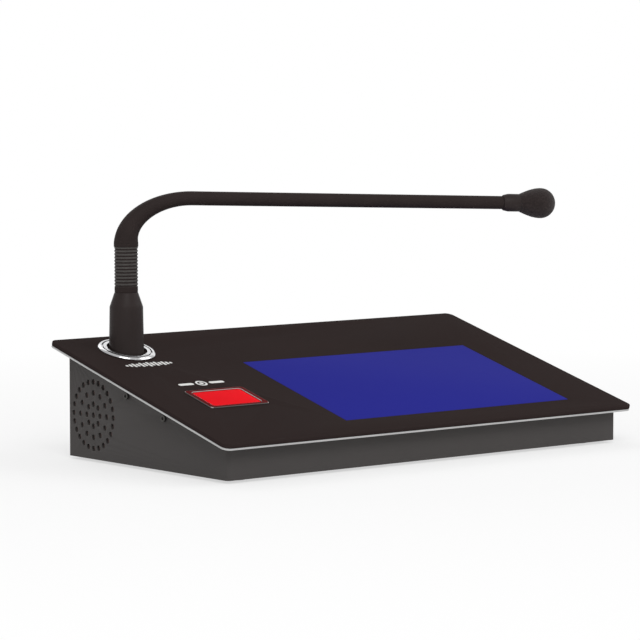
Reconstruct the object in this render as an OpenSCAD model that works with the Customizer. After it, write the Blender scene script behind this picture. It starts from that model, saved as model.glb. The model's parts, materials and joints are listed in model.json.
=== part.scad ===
// Desk paging console: sloping top panel with a touch display and an emergency button,
// a loudspeaker in the left wall, and a gooseneck microphone that plugs into the top panel.
// Millimetres. +X is right, +Y is back, +Z is up, and z = 0 is the desk under the middle.

/* [Top panel] */
// Width of the top panel
panel_w = 276; // [250:1:300]
// Length of the top panel along its slope
panel_l = 152; // [138:1:170]
// Thickness of the black overlay sheet
overlay_t = 2; // [1:0.1:3]
// Thickness of the aluminium plate under the overlay
plate_t = 1; // [1:0.1:3]
// Corner radius of the top panel
panel_corner_r = 4; // [1:0.5:8]
// Slope of the top panel in degrees
slope = 15.5; // [12:0.5:18]
// Height of the front top edge above the desk
front_h = 20; // [18:0.5:26]

/* [Case] */
// Thickness of the folded sheet
sheet = 1.5; // [1:0.1:2]
// Outer corner radius of the case
case_corner_r = 2; // [1:0.25:4]
// How far the panel stands out past the side walls
side_overhang = 6.5; // [4:0.5:8]
// How far the panel stands out past the front wall
front_overhang = 7; // [4:0.5:9]
// How far the panel stands out past the back wall
back_overhang = 8; // [5:0.5:9]
// Height of the rubber feet
foot_h = 1.5; // [1:0.25:4]
// Diameter of the rubber feet
foot_d = 14; // [8:1:18]
// Distance from a foot's centre to the case's outer faces
foot_inset = 15; // [10:1:25]

/* [Panel brackets and side screws] */
// Leg length of the angle brackets under the panel
bracket_leg = 8; // [7:0.5:8.5]
// Thickness of the angle brackets
bracket_t = 1.5; // [1:0.1:2.5]
// Distance of the rear side screw behind the panel's middle, along the slope
side_screw_back = 13.5; // [10:0.5:14]
// Distance between the two side screws
side_screw_pitch = 32; // [24:1:40]
// Depth of the side screws below the panel
side_screw_drop = 5; // [4:0.1:5]
// Length of bracket past its last screw
bracket_margin = 4; // [3:0.5:5]
// Diameter of the side and back panel screws
screw_d = 2; // [2:0.1:3]
// Head diameter of those screws
screw_head_d = 3.6; // [3.4:0.1:6]
// Head height of those screws
screw_head_h = 1.1; // [0.8:0.1:2]
// Length of screw behind its seat
screw_l = 6; // [5:0.5:8]

/* [Display] */
// Distance from the panel's left edge to the touch glass
glass_left = 89; // [86:0.5:104]
// Distance from the touch glass to the panel's right edge
glass_right = 33; // [30:0.5:48]
// Distance from the panel's front edge to the touch glass, along the slope
glass_front = 16.5; // [15:0.5:30]
// Distance from the touch glass to the panel's back edge, along the slope
glass_back = 49.5; // [46:0.5:60]
// Width of the ledge that carries the glass
glass_ledge = 3; // [2:0.5:5]
// How far the display module is wider than the glass, each side
lcd_margin = 5; // [2:0.5:6]
// Thickness of the display module
lcd_t = 5; // [3:0.5:6]
// Thickness of the clamp sheet
clamp_t = 1.2; // [0.8:0.1:2]
// Length of each clamp
clamp_l = 40; // [30:1:60]
// Width of the clamp's foot and lip
clamp_foot = 8; // [7:0.5:9]
// Distance between the two studs of a clamp
stud_pitch = 28; // [18:1:28]
// Diameter of the weld studs
stud_d = 3; // [2:0.1:3]
// Thickness of the nuts
nut_h = 2.4; // [1.5:0.1:3]
// Width across the corners of the nuts
nut_d = 6.35; // [5:0.05:7]
// Width of the display's flat cable
ribbon_w = 30; // [10:1:40]
// Thickness of the flat cable
ribbon_t = 0.4; // [0.2:0.1:1]

/* [Emergency button] */
// Width of the button's bezel
bezel_w = 37; // [36:0.5:42]
// Length of the bezel along the slope
bezel_l = 24; // [23.5:0.5:28]
// Height of the bezel above the panel
bezel_h = 0.6; // [0.4:0.1:2]
// Distance from the panel's left edge to the button's middle
button_left = 44; // [40:1:48]
// Distance from the panel's front edge to the button's middle, along the slope
button_front = 57.5; // [51:0.5:61]
// Width of the red cap
cap_w = 30.5; // [26:0.5:31]
// Length of the red cap
cap_l = 19; // [16:0.5:19]
// Height of the cap's face above the panel
cap_h = 0.4; // [0.2:0.1:4]
// Length of the cap's skirt below the panel
cap_skirt = 4.7; // [3:0.1:5]
// Wall of the cap
cap_wall = 1.6; // [1:0.1:2.5]
// Travel of the button
button_travel = 2; // [1:0.1:2.5]
// Wall of the button's cup
cup_wall = 1; // [0.8:0.1:1.2]
// Depth of the cup below the panel
cup_depth = 9.5; // [8.5:0.5:12]
// Thickness of the cup's floor
cup_floor = 1.8; // [1:0.1:3]
// Diameter of the plunger
plunger_d = 5.2; // [4:0.1:6]
// Thickness of the plunger's retaining clip
clip_t = 0.8; // [0.5:0.1:1]
// How far the clip stands out past the plunger
clip_lip = 1.2; // [0.8:0.1:1.5]
// Wire diameter of the return spring
spring_wire = 0.7; // [0.5:0.05:0.8]
// Turns of the return spring
spring_turns = 5; // [3:1:6]
// Width of the contact block
block_w = 22; // [16:1:30]
// Length of the contact block
block_l = 16; // [12:1:20]
// Height of the contact block
block_h = 11; // [9:0.5:13]
// Width of the retaining frame around the cup
retainer_rim = 3; // [2:0.5:4]
// Thickness of the retaining frame
retainer_t = 2.5; // [1.5:0.5:4]
// Diameter of the indicator lamps in the cup
lamp_d = 3; // [2:0.1:4]
// Distance of each lamp from the plunger's axis
lamp_offset = 10; // [8:0.5:11]

/* [Microphone socket and plug] */
// Room between the microphone's socket and the loudspeaker's magnet
mic_side_gap = 1.3; // [0.5:0.1:4]
// Room between the microphone's socket and the back wall
mic_back_gap = 1.5; // [0.5:0.1:4]
// Diameter of the plug's sleeve at the panel
sleeve_d = 18; // [16:0.1:18.4]
// Diameter of the sleeve at its upper edge
sleeve_top_d = 17.2; // [15:0.1:18]
// Height of the sleeve above the panel
sleeve_h = 23; // [18:0.5:30]
// Height of the sleeve's taper
taper_h = 7.4; // [5:0.1:10]
// Diameter at the end of the taper
taper_d = 12.1; // [12:0.1:13]
// Diameter of the plug's nose
nose_d = 15; // [14:0.1:15]
// Length of the plug's nose
nose_l = 12; // [10:0.5:13]
// Wall of the plug's nose
nose_wall = 0.9; // [0.6:0.1:1]
// Thickness of the plug's insulator
insert_t = 3; // [2:0.5:4]
// Diameter of the plug's pins
pin_d = 2.2; // [1.8:0.1:2.4]
// Radius of the circle that the pins stand on
pin_ring_r = 3.5; // [3:0.1:4]
// Number of pins
pin_count = 3; // [2:1:5]
// Outer diameter of the chrome ring
ring_d = 30; // [27:0.5:34]
// Height of the chrome ring above the panel
ring_h = 1.6; // [1.4:0.1:3]
// Width of each band of the ring
ring_band = 1.8; // [1.2:0.1:2]
// Width and depth of the groove between the bands
ring_groove = 0.8; // [0.5:0.1:1]
// Wall of the socket around the sleeve
socket_wall = 2.6; // [1.5:0.1:3]
// Thickness of the socket's floor
socket_floor = 3; // [2:0.5:4]

/* [Gooseneck] */
// Turn of the arm from the right towards the front, in degrees
arm_turn = 28; // [20:1:40]
// Fall of the arm towards its head, in degrees
arm_fall = 1.3; // [0:0.1:5]
// Length of the plain foot of the ribbed boot
boot_foot = 3; // [3:0.5:6]
// Number of ribs
rib_count = 12; // [8:1:14]
// Distance from rib to rib
rib_pitch = 1.7; // [1.4:0.1:1.8]
// Diameter over the ribs
rib_d = 12; // [11:0.1:12]
// Depth of the grooves between the ribs
rib_depth = 0.3; // [0.3:0.1:0.8]
// Diameter of the flexible spine inside the boot
spine_d = 5; // [4:0.1:6]
// Height of the band above the boot
band_h = 2; // [1.5:0.5:4]
// Diameter of the band and of the elbow's foot
band_d = 12.6; // [12:0.1:13]
// Height of the elbow
elbow_h = 22.5; // [20:0.5:32]
// Reach of the elbow
elbow_reach = 33.5; // [30:0.5:45]
// Diameter of the arm at the elbow
arm_d = 7.3; // [6.8:0.1:9]
// Diameter of the arm at the head
arm_tip_d = 6.9; // [5:0.1:7]
// Length of the arm
arm_l = 170; // [130:1:175]

/* [Microphone head] */
// Diameter of the head's collar
collar_d = 9.3; // [8.6:0.1:10]
// Length of the collar
collar_l = 9.2; // [8:0.1:14]
// How far the arm goes into the collar
collar_grip = 5; // [3:0.5:6]
// How much thinner the collar is at its back end, on the radius
collar_taper = 0.6; // [0.3:0.1:0.6]
// Length of the collar's tapered back end
collar_taper_l = 2.8; // [1:0.1:4]
// Diameter of the windscreen
screen_d = 16; // [14:0.1:20]
// Length of the windscreen
screen_l = 19; // [17:0.1:22]
// Distance from the collar to the windscreen's widest place
screen_belly = 11.2; // [9:0.1:12]
// Diameter of the microphone capsule
capsule_d = 6.6; // [5:0.1:6.8]
// Length of the microphone capsule
capsule_l = 6; // [4:0.5:7]

/* [Loudspeaker] */
// Room between the loudspeaker and the back wall
speaker_back_gap = 0.4; // [0.3:0.1:4]
// Room between the loudspeaker and the case's floor
speaker_floor_gap = 1; // [0.4:0.1:4]
// Diameter of the grille's holes
grille_hole_d = 3; // [1.5:0.1:3.2]
// Radius of the grille's outer ring of holes
grille_r = 17; // [16:0.5:18.5]
// Outer diameter of the loudspeaker
speaker_d = 40; // [38:0.5:40]
// Depth of the loudspeaker's frame
speaker_frame_h = 7.4; // [6:0.2:8]
// Wall of the loudspeaker's frame
speaker_wall = 1; // [0.8:0.1:1.2]
// Width of the flange of the loudspeaker's frame
speaker_flange = 3; // [2:0.5:4]
// Diameter of the magnet
magnet_d = 18; // [14:0.5:20]
// Height of the magnet
magnet_h = 3.4; // [2:0.1:3.6]
// Thickness of the foam gasket
gasket_t = 1; // [0.6:0.1:1.2]
// Thickness of the acoustic cloth
cloth_t = 0.3; // [0.2:0.1:0.5]

/* [Main board and sockets] */
// Width of the main board
board_w = 150; // [130:1:160]
// Length of the main board
board_l = 68; // [60:1:75]
// Thickness of the main board
board_t = 1.6; // [1:0.1:2]
// Distance of the board's middle right of the case's middle
board_x = 20; // [15:1:25]
// Height of the standoffs
standoff_h = 6; // [5:0.5:7]
// Diameter of the standoffs
standoff_d = 6; // [5:0.5:7]
// Distance from a standoff's axis to the board's edges
standoff_inset = 5; // [4:0.5:8]
// Distance of the sockets' middle right of the board's middle
jacks_x = 20; // [10:1:30]
// Distance from the network socket to the power socket
jack_pitch = 24; // [20:1:26]
// Width of the network socket
network_w = 16; // [15:0.5:17]
// Height of the network socket
network_h = 13.5; // [13:0.5:14]
// Length of the network socket
network_l = 20; // [18:0.5:22]
// Width of the network socket's opening
network_hole_w = 11.8; // [11:0.1:12]
// Height of the network socket's opening
network_hole_h = 8; // [7:0.1:8.4]
// Depth of the network socket's opening
network_hole_l = 14; // [12:0.5:15]
// Width of the power socket
power_w = 9; // [8.5:0.5:11]
// Height of the power socket
power_h = 11; // [10:0.5:12]
// Length of the power socket
power_l = 14; // [12:0.5:16]
// Diameter of the power socket's bore
power_bore_d = 6; // [5:0.1:6.2]
// Depth of the power socket's bore
power_bore_l = 9.8; // [8:0.1:11]
// Diameter of the power socket's centre pin
power_pin_d = 2; // [1.3:0.1:2.6]
// Width of the socket panel on the back wall
rear_w = 66; // [60:1:70]
// Height of the socket panel
rear_h = 30; // [27:1:34]
// Thickness of the socket panel
rear_t = 1.2; // [0.8:0.1:2]

/* [Fits] */
// Room around a piece in its window or cut-out
window_gap = 0.15; // [0.1:0.05:0.3]
// Room around a sliding or pressed round fit
fit_gap = 0.05; // [0.02:0.01:0.1]
// Room around a piece that passes through another
pass_gap = 0.3; // [0.2:0.05:0.4]

/* [Hidden] */
$fn = 64;

// Colours as the photograph shows them
black_panel = [0.21, 0.165, 0.16];
case_grey = [0.28, 0.265, 0.26];
rib_grey = [0.30, 0.28, 0.27];
cap_red = [0.90, 0.13, 0.16];
bezel_red = [0.35, 0.07, 0.08];
display_blue = [0.19, 0.19, 0.54];
bare_metal = [0.72, 0.72, 0.72];
steel = [0.55, 0.55, 0.56];
chrome = [0.85, 0.85, 0.86];
rubber = [0.08, 0.08, 0.08];
black_plastic = [0.12, 0.12, 0.12];
board_green = [0.08, 0.30, 0.16];
brass = [0.78, 0.62, 0.28];
lamp_white = [0.95, 0.85, 0.80];

// A length that reaches past everything, and a short one for cuts that run out of a face
far = 2 * (panel_w + panel_l);
over = 1;

// Panel stack: the origin of its own frame is the middle of its whole thickness
stack_t = overlay_t + plate_t;
panel_top = stack_t / 2;
panel_under = -stack_t / 2;
plate_top = panel_under + plate_t;
panel_z = front_h + panel_l / 2 * sin(slope) - panel_top * cos(slope);
panel_reach_y = panel_l / 2 * cos(slope) + stack_t / 2 * sin(slope);

// Case walls
case_w = panel_w - 2 * side_overhang;
case_front_y = -panel_reach_y + front_overhang;
case_back_y = panel_reach_y - back_overhang;
case_d = case_back_y - case_front_y;
case_y = (case_back_y + case_front_y) / 2;
case_top = panel_z + panel_reach_y;
floor_z = foot_h + sheet;
inner_x = case_w / 2 - sheet;
inner_back_y = case_back_y - sheet;
least_corner_r = 0.2;
inner_corner_r = max(case_corner_r - sheet, least_corner_r);

// Side screws, as places along the slope in the panel's frame
side_screw_places = [side_screw_back, side_screw_back - side_screw_pitch];
side_screw_z = panel_under - side_screw_drop;
bracket_l = side_screw_pitch + 2 * bracket_margin;
bracket_mid = side_screw_back - side_screw_pitch / 2;
screw_socket_d = screw_head_d / 2;
screw_socket_h = screw_head_h / 2;
screw_hole_d = screw_d + 2 * fit_gap;

// Display glass, module, clamps and flat cable
glass_w = panel_w - glass_left - glass_right;
glass_l = panel_l - glass_front - glass_back;
glass_x = (glass_left - glass_right) / 2;
glass_y = (glass_front - glass_back) / 2;
lcd_w = glass_w + 2 * lcd_margin;
lcd_l = glass_l + 2 * lcd_margin;
lcd_under = panel_under - lcd_t;
clamp_x = lcd_w / 2 + pass_gap;
stud_x = clamp_x + (clamp_foot + clamp_t) / 2;
stud_l = clamp_t + nut_h + over;
nut_sides = 6;
connector_w = 8;
connector_l = 6;
connector_h = 3;

// Button, in its own frame on the panel's top face
button_x = button_left - panel_w / 2;
button_y = button_front - panel_l / 2;
cavity_w = cap_w + 2 * pass_gap;
cavity_l = cap_l + 2 * pass_gap;
cup_w = cavity_w + 2 * cup_wall;
cup_l = cavity_l + 2 * cup_wall;
cup_under = -cup_depth - cup_floor;
cap_under = cap_h - cap_wall;
cap_corner_r = 1.5;
bezel_corner_r = 2;
plunger_bore_d = plunger_d + 2 * fit_gap;
clip_d = plunger_d + 2 * clip_lip;
clip_room_d = clip_d + 2 * pass_gap;
clip_room_h = clip_t + fit_gap + button_travel + pass_gap;
plunger_reach = clip_room_h + pass_gap;
block_bore_h = plunger_reach + button_travel + pass_gap;
spring_r = plunger_d / 2 + pass_gap + spring_wire / 2;
spring_turn_steps = 8;
spring_sides = 6;
lamp_h = cup_depth - cap_skirt - button_travel;

// Loudspeaker, along the left wall's normal
speaker_y = inner_back_y - speaker_back_gap - speaker_d / 2;
speaker_z = floor_z + speaker_floor_gap + speaker_d / 2;
grille_rings = [[0, 1], [grille_r / 3, 8], [grille_r * 2 / 3, 12], [grille_r, 24]];
cloth_x = -inner_x;
gasket_x = cloth_x + cloth_t;
frame_x = gasket_x + gasket_t;
magnet_x = frame_x + speaker_frame_h;
speaker_mouth_r = speaker_d / 2 - speaker_flange;
speaker_back_r = magnet_d / 2 + speaker_wall;
speaker_lean = (speaker_mouth_r - speaker_back_r) / (speaker_frame_h - speaker_wall);
cone_t = 0.5;
cone_rim_r = speaker_mouth_r - speaker_wall - cone_t * speaker_lean - fit_gap;

// Microphone axis, and heights along it
socket_bore_d = sleeve_d + 2 * fit_gap;
socket_d = sleeve_d + 2 * socket_wall;
mic_x = magnet_x + magnet_h + mic_side_gap + socket_d / 2;
mic_y = inner_back_y - mic_back_gap - socket_d / 2;
mic_z = top_z(mic_y);
shoulder_z = under_z(mic_y - socket_d / 2) - over;
nose_end_z = shoulder_z - nose_l;
nose_bore_d = nose_d - 2 * nose_wall;
socket_floor_z = nose_end_z - pass_gap;
socket_end_z = socket_floor_z - socket_floor;
insert_under_z = shoulder_z - insert_t;
core_d = nose_bore_d - 2 * pass_gap;
core_h = insert_under_z - pass_gap - socket_floor_z;
pin_room = 1.8;
pin_l = core_h - pin_room;
ring_r = ring_d / 2;
contact_l = 4;
sleeve_top_z = mic_z + sleeve_h;
taper_top_z = sleeve_top_z + taper_h;

// Boot, band and elbow
boot_top_z = taper_top_z + boot_foot + rib_count * rib_pitch;
boot_bore_d = spine_d + 2 * pass_gap;
rib_start_z = taper_top_z + boot_foot;
rib_flank = rib_pitch / 8;
groove_floor = rib_pitch / 4;
tilt_z = rib_start_z + rib_count * rib_pitch / 2;
band_top_z = boot_top_z + band_h;
elbow_end_angle = 90 + atan(tan(arm_fall) * elbow_reach / elbow_h);
elbow_steps = 24;
elbow_sides = 32;
arm_end = elbow_point(elbow_end_angle);
arm_dir = [cos(arm_fall) * cos(arm_turn), -cos(arm_fall) * sin(arm_turn), -sin(arm_fall)];
arm_side = [sin(arm_turn), cos(arm_turn), 0];

// Windscreen outline: steps along its length
screen_steps = 24;
screen_lip = 0.2;
screen_back_r = collar_d / 2 + screen_lip;

// Main board and what stands on it
board_back_y = inner_back_y - over;
board_y = board_back_y - board_l / 2;
board_z = floor_z + standoff_h;
board_top = board_z + board_t;
board_screw_d = standoff_d / 2;
board_screw_head_d = 5.4;
board_screw_head_h = 1.8;
standoff_x = board_w / 2 - standoff_inset;
standoff_y = board_l / 2 - standoff_inset;
rear_face_y = case_back_y + rear_t;
jack_face_y = rear_face_y - pass_gap;
jacks_mid_x = board_x + jacks_x;
network_x = jacks_mid_x - jack_pitch / 2;
power_x = jacks_mid_x + jack_pitch / 2;
network_hole_z = board_top + (network_h - network_hole_h) / 2;
power_axis_z = board_top + power_h / 2;
jack_contact_count = 8;
jack_contact_t = 0.5;
jack_contact_l = 8.4;
jack_contact_pitch = 1.02;
rear_z = board_top + network_h / 2;
rear_screw_inset = 4;
rear_window_w = rear_w - 4 * rear_screw_inset;
rear_window_h = rear_h - 2 * rear_screw_inset;

// Leads between the board and what it serves, as cubic curves with square ends
lead_d = 2;
lead_steps = 16;
lead_sides = 8;
lead_drop = 12;
lead_rise = 14;
lead_x = board_x - board_w / 2 + connector_w;
lead_top = board_top + connector_h;
button_lead_y = board_y - board_l / 4;
speaker_lead_y = board_y;
mic_lead_y = board_y + board_l / 4;
ribbon_y = to_world([0, glass_y + lcd_l / 4, lcd_under]).y;

// Heights of the panel's faces above a place on the Y axis
function top_z(y) = panel_z + (y * sin(slope) + panel_top) / cos(slope);
function under_z(y) = panel_z + (y * sin(slope) + panel_under) / cos(slope);

// A point of the panel's frame in the part's frame
function to_world(p) =
    [p.x, p.y * cos(slope) - p.z * sin(slope), panel_z + p.y * sin(slope) + p.z * cos(slope)];

// Vectors
function unit(v) = v / norm(v);
function square_to(v, t) = unit(v - (v * t) * t);

// A point and a direction on a cubic curve through four control points
function curve_point(c, u) =
    pow(1 - u, 3) * c[0] + 3 * u * pow(1 - u, 2) * c[1] + 3 * u * u * (1 - u) * c[2] + pow(u, 3) * c[3];
function curve_dir(c, u) =
    unit(pow(1 - u, 2) * (c[1] - c[0]) + 2 * u * (1 - u) * (c[2] - c[1]) + u * u * (c[3] - c[2]));

// Elbow centre line: a quarter of an ellipse in the arm's upright plane
function along_arm(reach, z) = [mic_x + reach * cos(arm_turn), mic_y - reach * sin(arm_turn), z];
function elbow_point(a) = along_arm(elbow_reach * (1 - cos(a)), band_top_z + elbow_h * sin(a));
function elbow_dir(a) =
    unit([elbow_reach * sin(a) * cos(arm_turn), -elbow_reach * sin(a) * sin(arm_turn), elbow_h * cos(a)]);

// Windscreen radius at a distance from the collar: a swelling flank, then a rounded end
function screen_r(x) = x < screen_belly
    ? screen_back_r + (screen_d / 2 - screen_back_r) * sin(90 * x / screen_belly)
    : screen_d / 2 * sqrt(max(0, 1 - pow((x - screen_belly) / (screen_l - screen_belly), 2)));

// Places children in the panel's frame
module on_panel() {
    translate([0, 0, panel_z]) rotate([slope, 0, 0]) children();
}

// Places children in the button's frame, with z = 0 on the panel's top face
module on_button() {
    on_panel() translate([button_x, button_y, panel_top]) children();
}

// Places children at the arm's end, with z along the arm
module on_arm_end() {
    translate(arm_end) rotate([0, 90 + arm_fall, -arm_turn]) translate([0, 0, arm_l]) children();
}

// Places children on the left wall's inner face at the grille, with z into the case
module on_speaker(x) {
    translate([x, speaker_y, speaker_z]) rotate([0, 90, 0]) children();
}

// Extrudes an outline, drawn across the panel and square to it, along the slope
module along_slope(l) {
    rotate([90, 0, 0]) linear_extrude(l, center = true) children();
}

// Rectangle with round corners, centred
module round_rect(w, l, r) {
    square([w - 2 * r, l], center = true);
    square([w, l - 2 * r], center = true);
    for (sx = [-1, 1], sy = [-1, 1]) {
        translate([sx * (w / 2 - r), sy * (l / 2 - r)]) circle(r);
    }
}

// Everything below the panel
module under_panel() {
    on_panel() translate([0, 0, panel_under - far / 2]) cube(far, center = true);
}

// Tube through points, with a direction and a radius at each, and a fixed vector to turn from
module tube(points, dirs, radii, side, sides) {
    last = len(points) - 1;
    rings = [
        for (i = [0 : last])
            let (u = square_to(side, dirs[i]), v = cross(dirs[i], u))
                for (j = [0 : sides - 1])
                    points[i] + radii[i] * (cos(360 * j / sides) * u + sin(360 * j / sides) * v)
    ];
    walls = [
        for (i = [0 : last - 1], j = [0 : sides - 1])
            let (a = i * sides + j, b = i * sides + (j + 1) % sides)
                each [[a, a + sides, b + sides], [a, b + sides, b]]
    ];
    ends = [
        for (j = [1 : sides - 2])
            each [[0, j, j + 1], [last * sides, last * sides + j + 1, last * sides + j]]
    ];
    polyhedron(rings, concat(walls, ends));
}

// Insulated lead along a cubic curve
module lead(c) {
    places = [for (i = [0 : lead_steps]) i / lead_steps];
    tube([for (u = places) curve_point(c, u)], [for (u = places) curve_dir(c, u)],
        [for (u = places) lead_d / 2], [0, 1, 0], lead_sides);
}

// Pan-head screw with a hexagonal socket, head outward along z from its seat
module screw(d, head_d, head_h, socket_d, socket_h, length) {
    difference() {
        union() {
            cylinder(d = head_d, h = head_h);
            translate([0, 0, -length]) cylinder(d = d, h = length);
        }
        translate([0, 0, head_h - socket_h]) cylinder(d = socket_d, h = socket_h + over, $fn = 6);
    }
}

// Places children at each side screw, with z out of the wall
module at_side_screws() {
    for (side = [-1, 1], y = side_screw_places) {
        on_panel() translate([side * case_w / 2, y, side_screw_z]) rotate([0, side * 90, 0]) children();
    }
}

// Places children at each screw of the socket panel, with z out of the wall
module at_rear_screws() {
    for (sx = [-1, 1], sz = [-1, 1]) {
        translate([jacks_mid_x + sx * (rear_w / 2 - rear_screw_inset), rear_face_y,
                rear_z + sz * (rear_h / 2 - rear_screw_inset)])
            rotate([-90, 0, 0]) children();
    }
}

// Places children at each hole of the loudspeaker grille, with z into the case
module at_grille_holes() {
    for (ring = grille_rings, i = [0 : ring[1] - 1]) {
        on_speaker(-case_w / 2) rotate(360 * i / ring[1]) translate([ring[0], 0]) children();
    }
}

// Places children at each stud of the display clamps, with z down from the panel
module at_studs() {
    for (sx = [-1, 1], sy = [-1, 1]) {
        on_panel() translate([glass_x + sx * stud_x, glass_y + sy * stud_pitch / 2, panel_under])
            mirror([0, 0, 1]) children();
    }
}

// Places children at each corner standoff of the main board
module at_standoffs(z) {
    for (sx = [-1, 1], sy = [-1, 1]) {
        translate([board_x + sx * standoff_x, board_y + sy * standoff_y, z]) children();
    }
}

// Places children at each microphone pin, with a space between two pins on the right
module at_pins(z) {
    for (i = [0 : pin_count - 1]) {
        translate([mic_x, mic_y, z]) rotate(360 * (i + 1 / 2) / pin_count) translate([pin_ring_r, 0])
            children();
    }
}

// Upright hole for the plug's sleeve through the panel
module sleeve_hole() {
    translate([mic_x, mic_y, shoulder_z]) cylinder(d = sleeve_d + 2 * pass_gap, h = sleeve_h + stack_t);
}

// Outline of the button's cup, and of the hole that it passes through
module cup_outline(gap) {
    round_rect(cup_w + 2 * gap, cup_l + 2 * gap, cap_corner_r + cup_wall + gap);
}

// Folded and welded steel tray: floor and four walls that carry the sloping panel
module case_shell() {
    color(case_grey) difference() {
        intersection() {
            translate([0, case_y, foot_h]) linear_extrude(case_top)
                round_rect(case_w, case_d, case_corner_r);
            under_panel();
        }
        translate([0, case_y, floor_z]) linear_extrude(case_top)
            round_rect(case_w - 2 * sheet, case_d - 2 * sheet, inner_corner_r);
        at_grille_holes() cylinder(d = grille_hole_d, h = 2 * (sheet + over), center = true);
        at_side_screws() cylinder(d = screw_hole_d, h = 2 * (sheet + over), center = true);
        at_rear_screws() cylinder(d = screw_hole_d, h = 4 * (sheet + rear_t), center = true);
        translate([jacks_mid_x, case_back_y, rear_z])
            cube([rear_window_w, 2 * (sheet + over), rear_window_h], center = true);
    }
}

// Four stick-on rubber feet
module rubber_feet() {
    color(rubber) for (sx = [-1, 1], sy = [-1, 1]) {
        translate([sx * (case_w / 2 - foot_inset), case_y + sy * (case_d / 2 - foot_inset)])
            cylinder(d = foot_d, h = foot_h);
    }
}

// Aluminium plate with its bare edge, the glass ledge and four weld studs
module panel_plate() {
    color(bare_metal) difference() {
        union() {
            on_panel() translate([0, 0, panel_under]) linear_extrude(plate_t)
                round_rect(panel_w, panel_l, panel_corner_r);
            at_studs() translate([0, 0, -plate_t / 2]) cylinder(d = stud_d, h = stud_l + plate_t / 2);
        }
        on_panel() translate([glass_x, glass_y])
            cube([glass_w - 2 * glass_ledge, glass_l - 2 * glass_ledge, 4 * stack_t], center = true);
        on_button() linear_extrude(4 * stack_t, center = true) cup_outline(window_gap);
        sleeve_hole();
    }
}

// Black overlay sheet bonded to the plate, with the window for the glass
module panel_overlay() {
    color(black_panel) difference() {
        on_panel() translate([0, 0, plate_top]) linear_extrude(overlay_t)
            round_rect(panel_w, panel_l, panel_corner_r);
        on_panel() translate([glass_x, glass_y])
            cube([glass_w + 2 * window_gap, glass_l + 2 * window_gap, 4 * stack_t], center = true);
        on_button() linear_extrude(4 * stack_t, center = true) cup_outline(window_gap);
        sleeve_hole();
    }
}

// Angle bracket under the panel's edge that takes two side screws
module bracket(side) {
    outline = [[0, 0], [bracket_leg, 0], [bracket_leg, -bracket_t], [bracket_t, -bracket_t],
        [bracket_t, -bracket_leg], [0, -bracket_leg]];
    color(steel) difference() {
        on_panel() translate([side * inner_x, bracket_mid, panel_under])
            along_slope(bracket_l) polygon([for (p = outline) [-side * p.x, p.y]]);
        at_side_screws() cylinder(d = screw_hole_d, h = 4 * screw_l, center = true);
    }
}

module left_bracket() {
    bracket(-1);
}

module right_bracket() {
    bracket(1);
}

// Two screws in each side wall that hold the panel's brackets
module side_screws() {
    color(steel) at_side_screws()
        screw(screw_d, screw_head_d, screw_head_h, screw_socket_d, screw_socket_h, screw_l);
}

// Touch glass, flush in the overlay on the plate's ledge
module touch_glass() {
    color(display_blue) on_panel() translate([glass_x, glass_y, plate_top])
        linear_extrude(overlay_t) square([glass_w, glass_l], center = true);
}

// Display module against the plate's underside
module lcd_module() {
    color(steel) on_panel() translate([glass_x, glass_y, panel_under - lcd_t / 2])
        cube([lcd_w, lcd_l, lcd_t], center = true);
}

// Two bent clamps that hold the display module up
module lcd_clamps() {
    web_h = lcd_t + clamp_t;
    outline = [[0, 0], [clamp_foot, 0], [clamp_foot, -clamp_t], [clamp_t, -clamp_t], [clamp_t, -web_h],
        [-clamp_foot, -web_h], [-clamp_foot, -lcd_t], [0, -lcd_t]];
    color(steel) difference() {
        for (sx = [-1, 1]) {
            on_panel() translate([glass_x + sx * clamp_x, glass_y, panel_under])
                along_slope(clamp_l) polygon([for (p = outline) [sx * p.x, p.y]]);
        }
        at_studs() translate([0, 0, -over]) cylinder(d = stud_d + 2 * fit_gap, h = stud_l + over);
    }
}

// Nuts on the weld studs
module clamp_nuts() {
    color(steel) at_studs() translate([0, 0, clamp_t]) difference() {
        rotate(180 / nut_sides) cylinder(d = nut_d, h = nut_h, $fn = nut_sides);
        translate([0, 0, -over]) cylinder(d = stud_d + 2 * fit_gap, h = nut_h + 2 * over);
    }
}

// Flat cable from the display module down to the main board
module display_ribbon() {
    start = to_world([0, glass_y + lcd_l / 4, lcd_under]);
    finish = [0, ribbon_y - lead_drop, lead_top];
    c = [start, start - lead_drop * [0, -sin(slope), cos(slope)], finish + [0, 0, lead_drop], finish];
    places = [for (i = [0 : lead_steps]) i / lead_steps];
    outline = [
        for (side = [1, -1], i = [0 : lead_steps])
            let (u = places[side > 0 ? i : lead_steps - i], p = curve_point(c, u), d = curve_dir(c, u))
                [p.y - side * d.z * ribbon_t / 2, p.z + side * d.y * ribbon_t / 2]
    ];
    color(brass) translate([glass_x - ribbon_w / 2, 0, 0]) rotate([90, 0, 90])
        linear_extrude(ribbon_w) polygon(outline);
}

// Bezel and cup of the button in one moulding
module button_bezel() {
    color(bezel_red) on_button() difference() {
        union() {
            linear_extrude(bezel_h) round_rect(bezel_w, bezel_l, bezel_corner_r);
            translate([0, 0, cup_under]) linear_extrude(-cup_under) cup_outline(0);
        }
        translate([0, 0, -cup_depth]) linear_extrude(cup_depth + bezel_h + over)
            round_rect(cavity_w, cavity_l, cap_corner_r + pass_gap);
        translate([0, 0, cup_under - over]) cylinder(d = plunger_bore_d, h = cup_floor + 2 * over);
    }
}

// Red cap, hollow from below
module button_cap() {
    color(cap_red) on_button() difference() {
        translate([0, 0, -cap_skirt]) linear_extrude(cap_h + cap_skirt)
            round_rect(cap_w, cap_l, cap_corner_r);
        translate([0, 0, -cap_skirt - over]) linear_extrude(cap_under + cap_skirt + over)
            square([cap_w - 2 * cap_wall, cap_l - 2 * cap_wall], center = true);
    }
}

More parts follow.
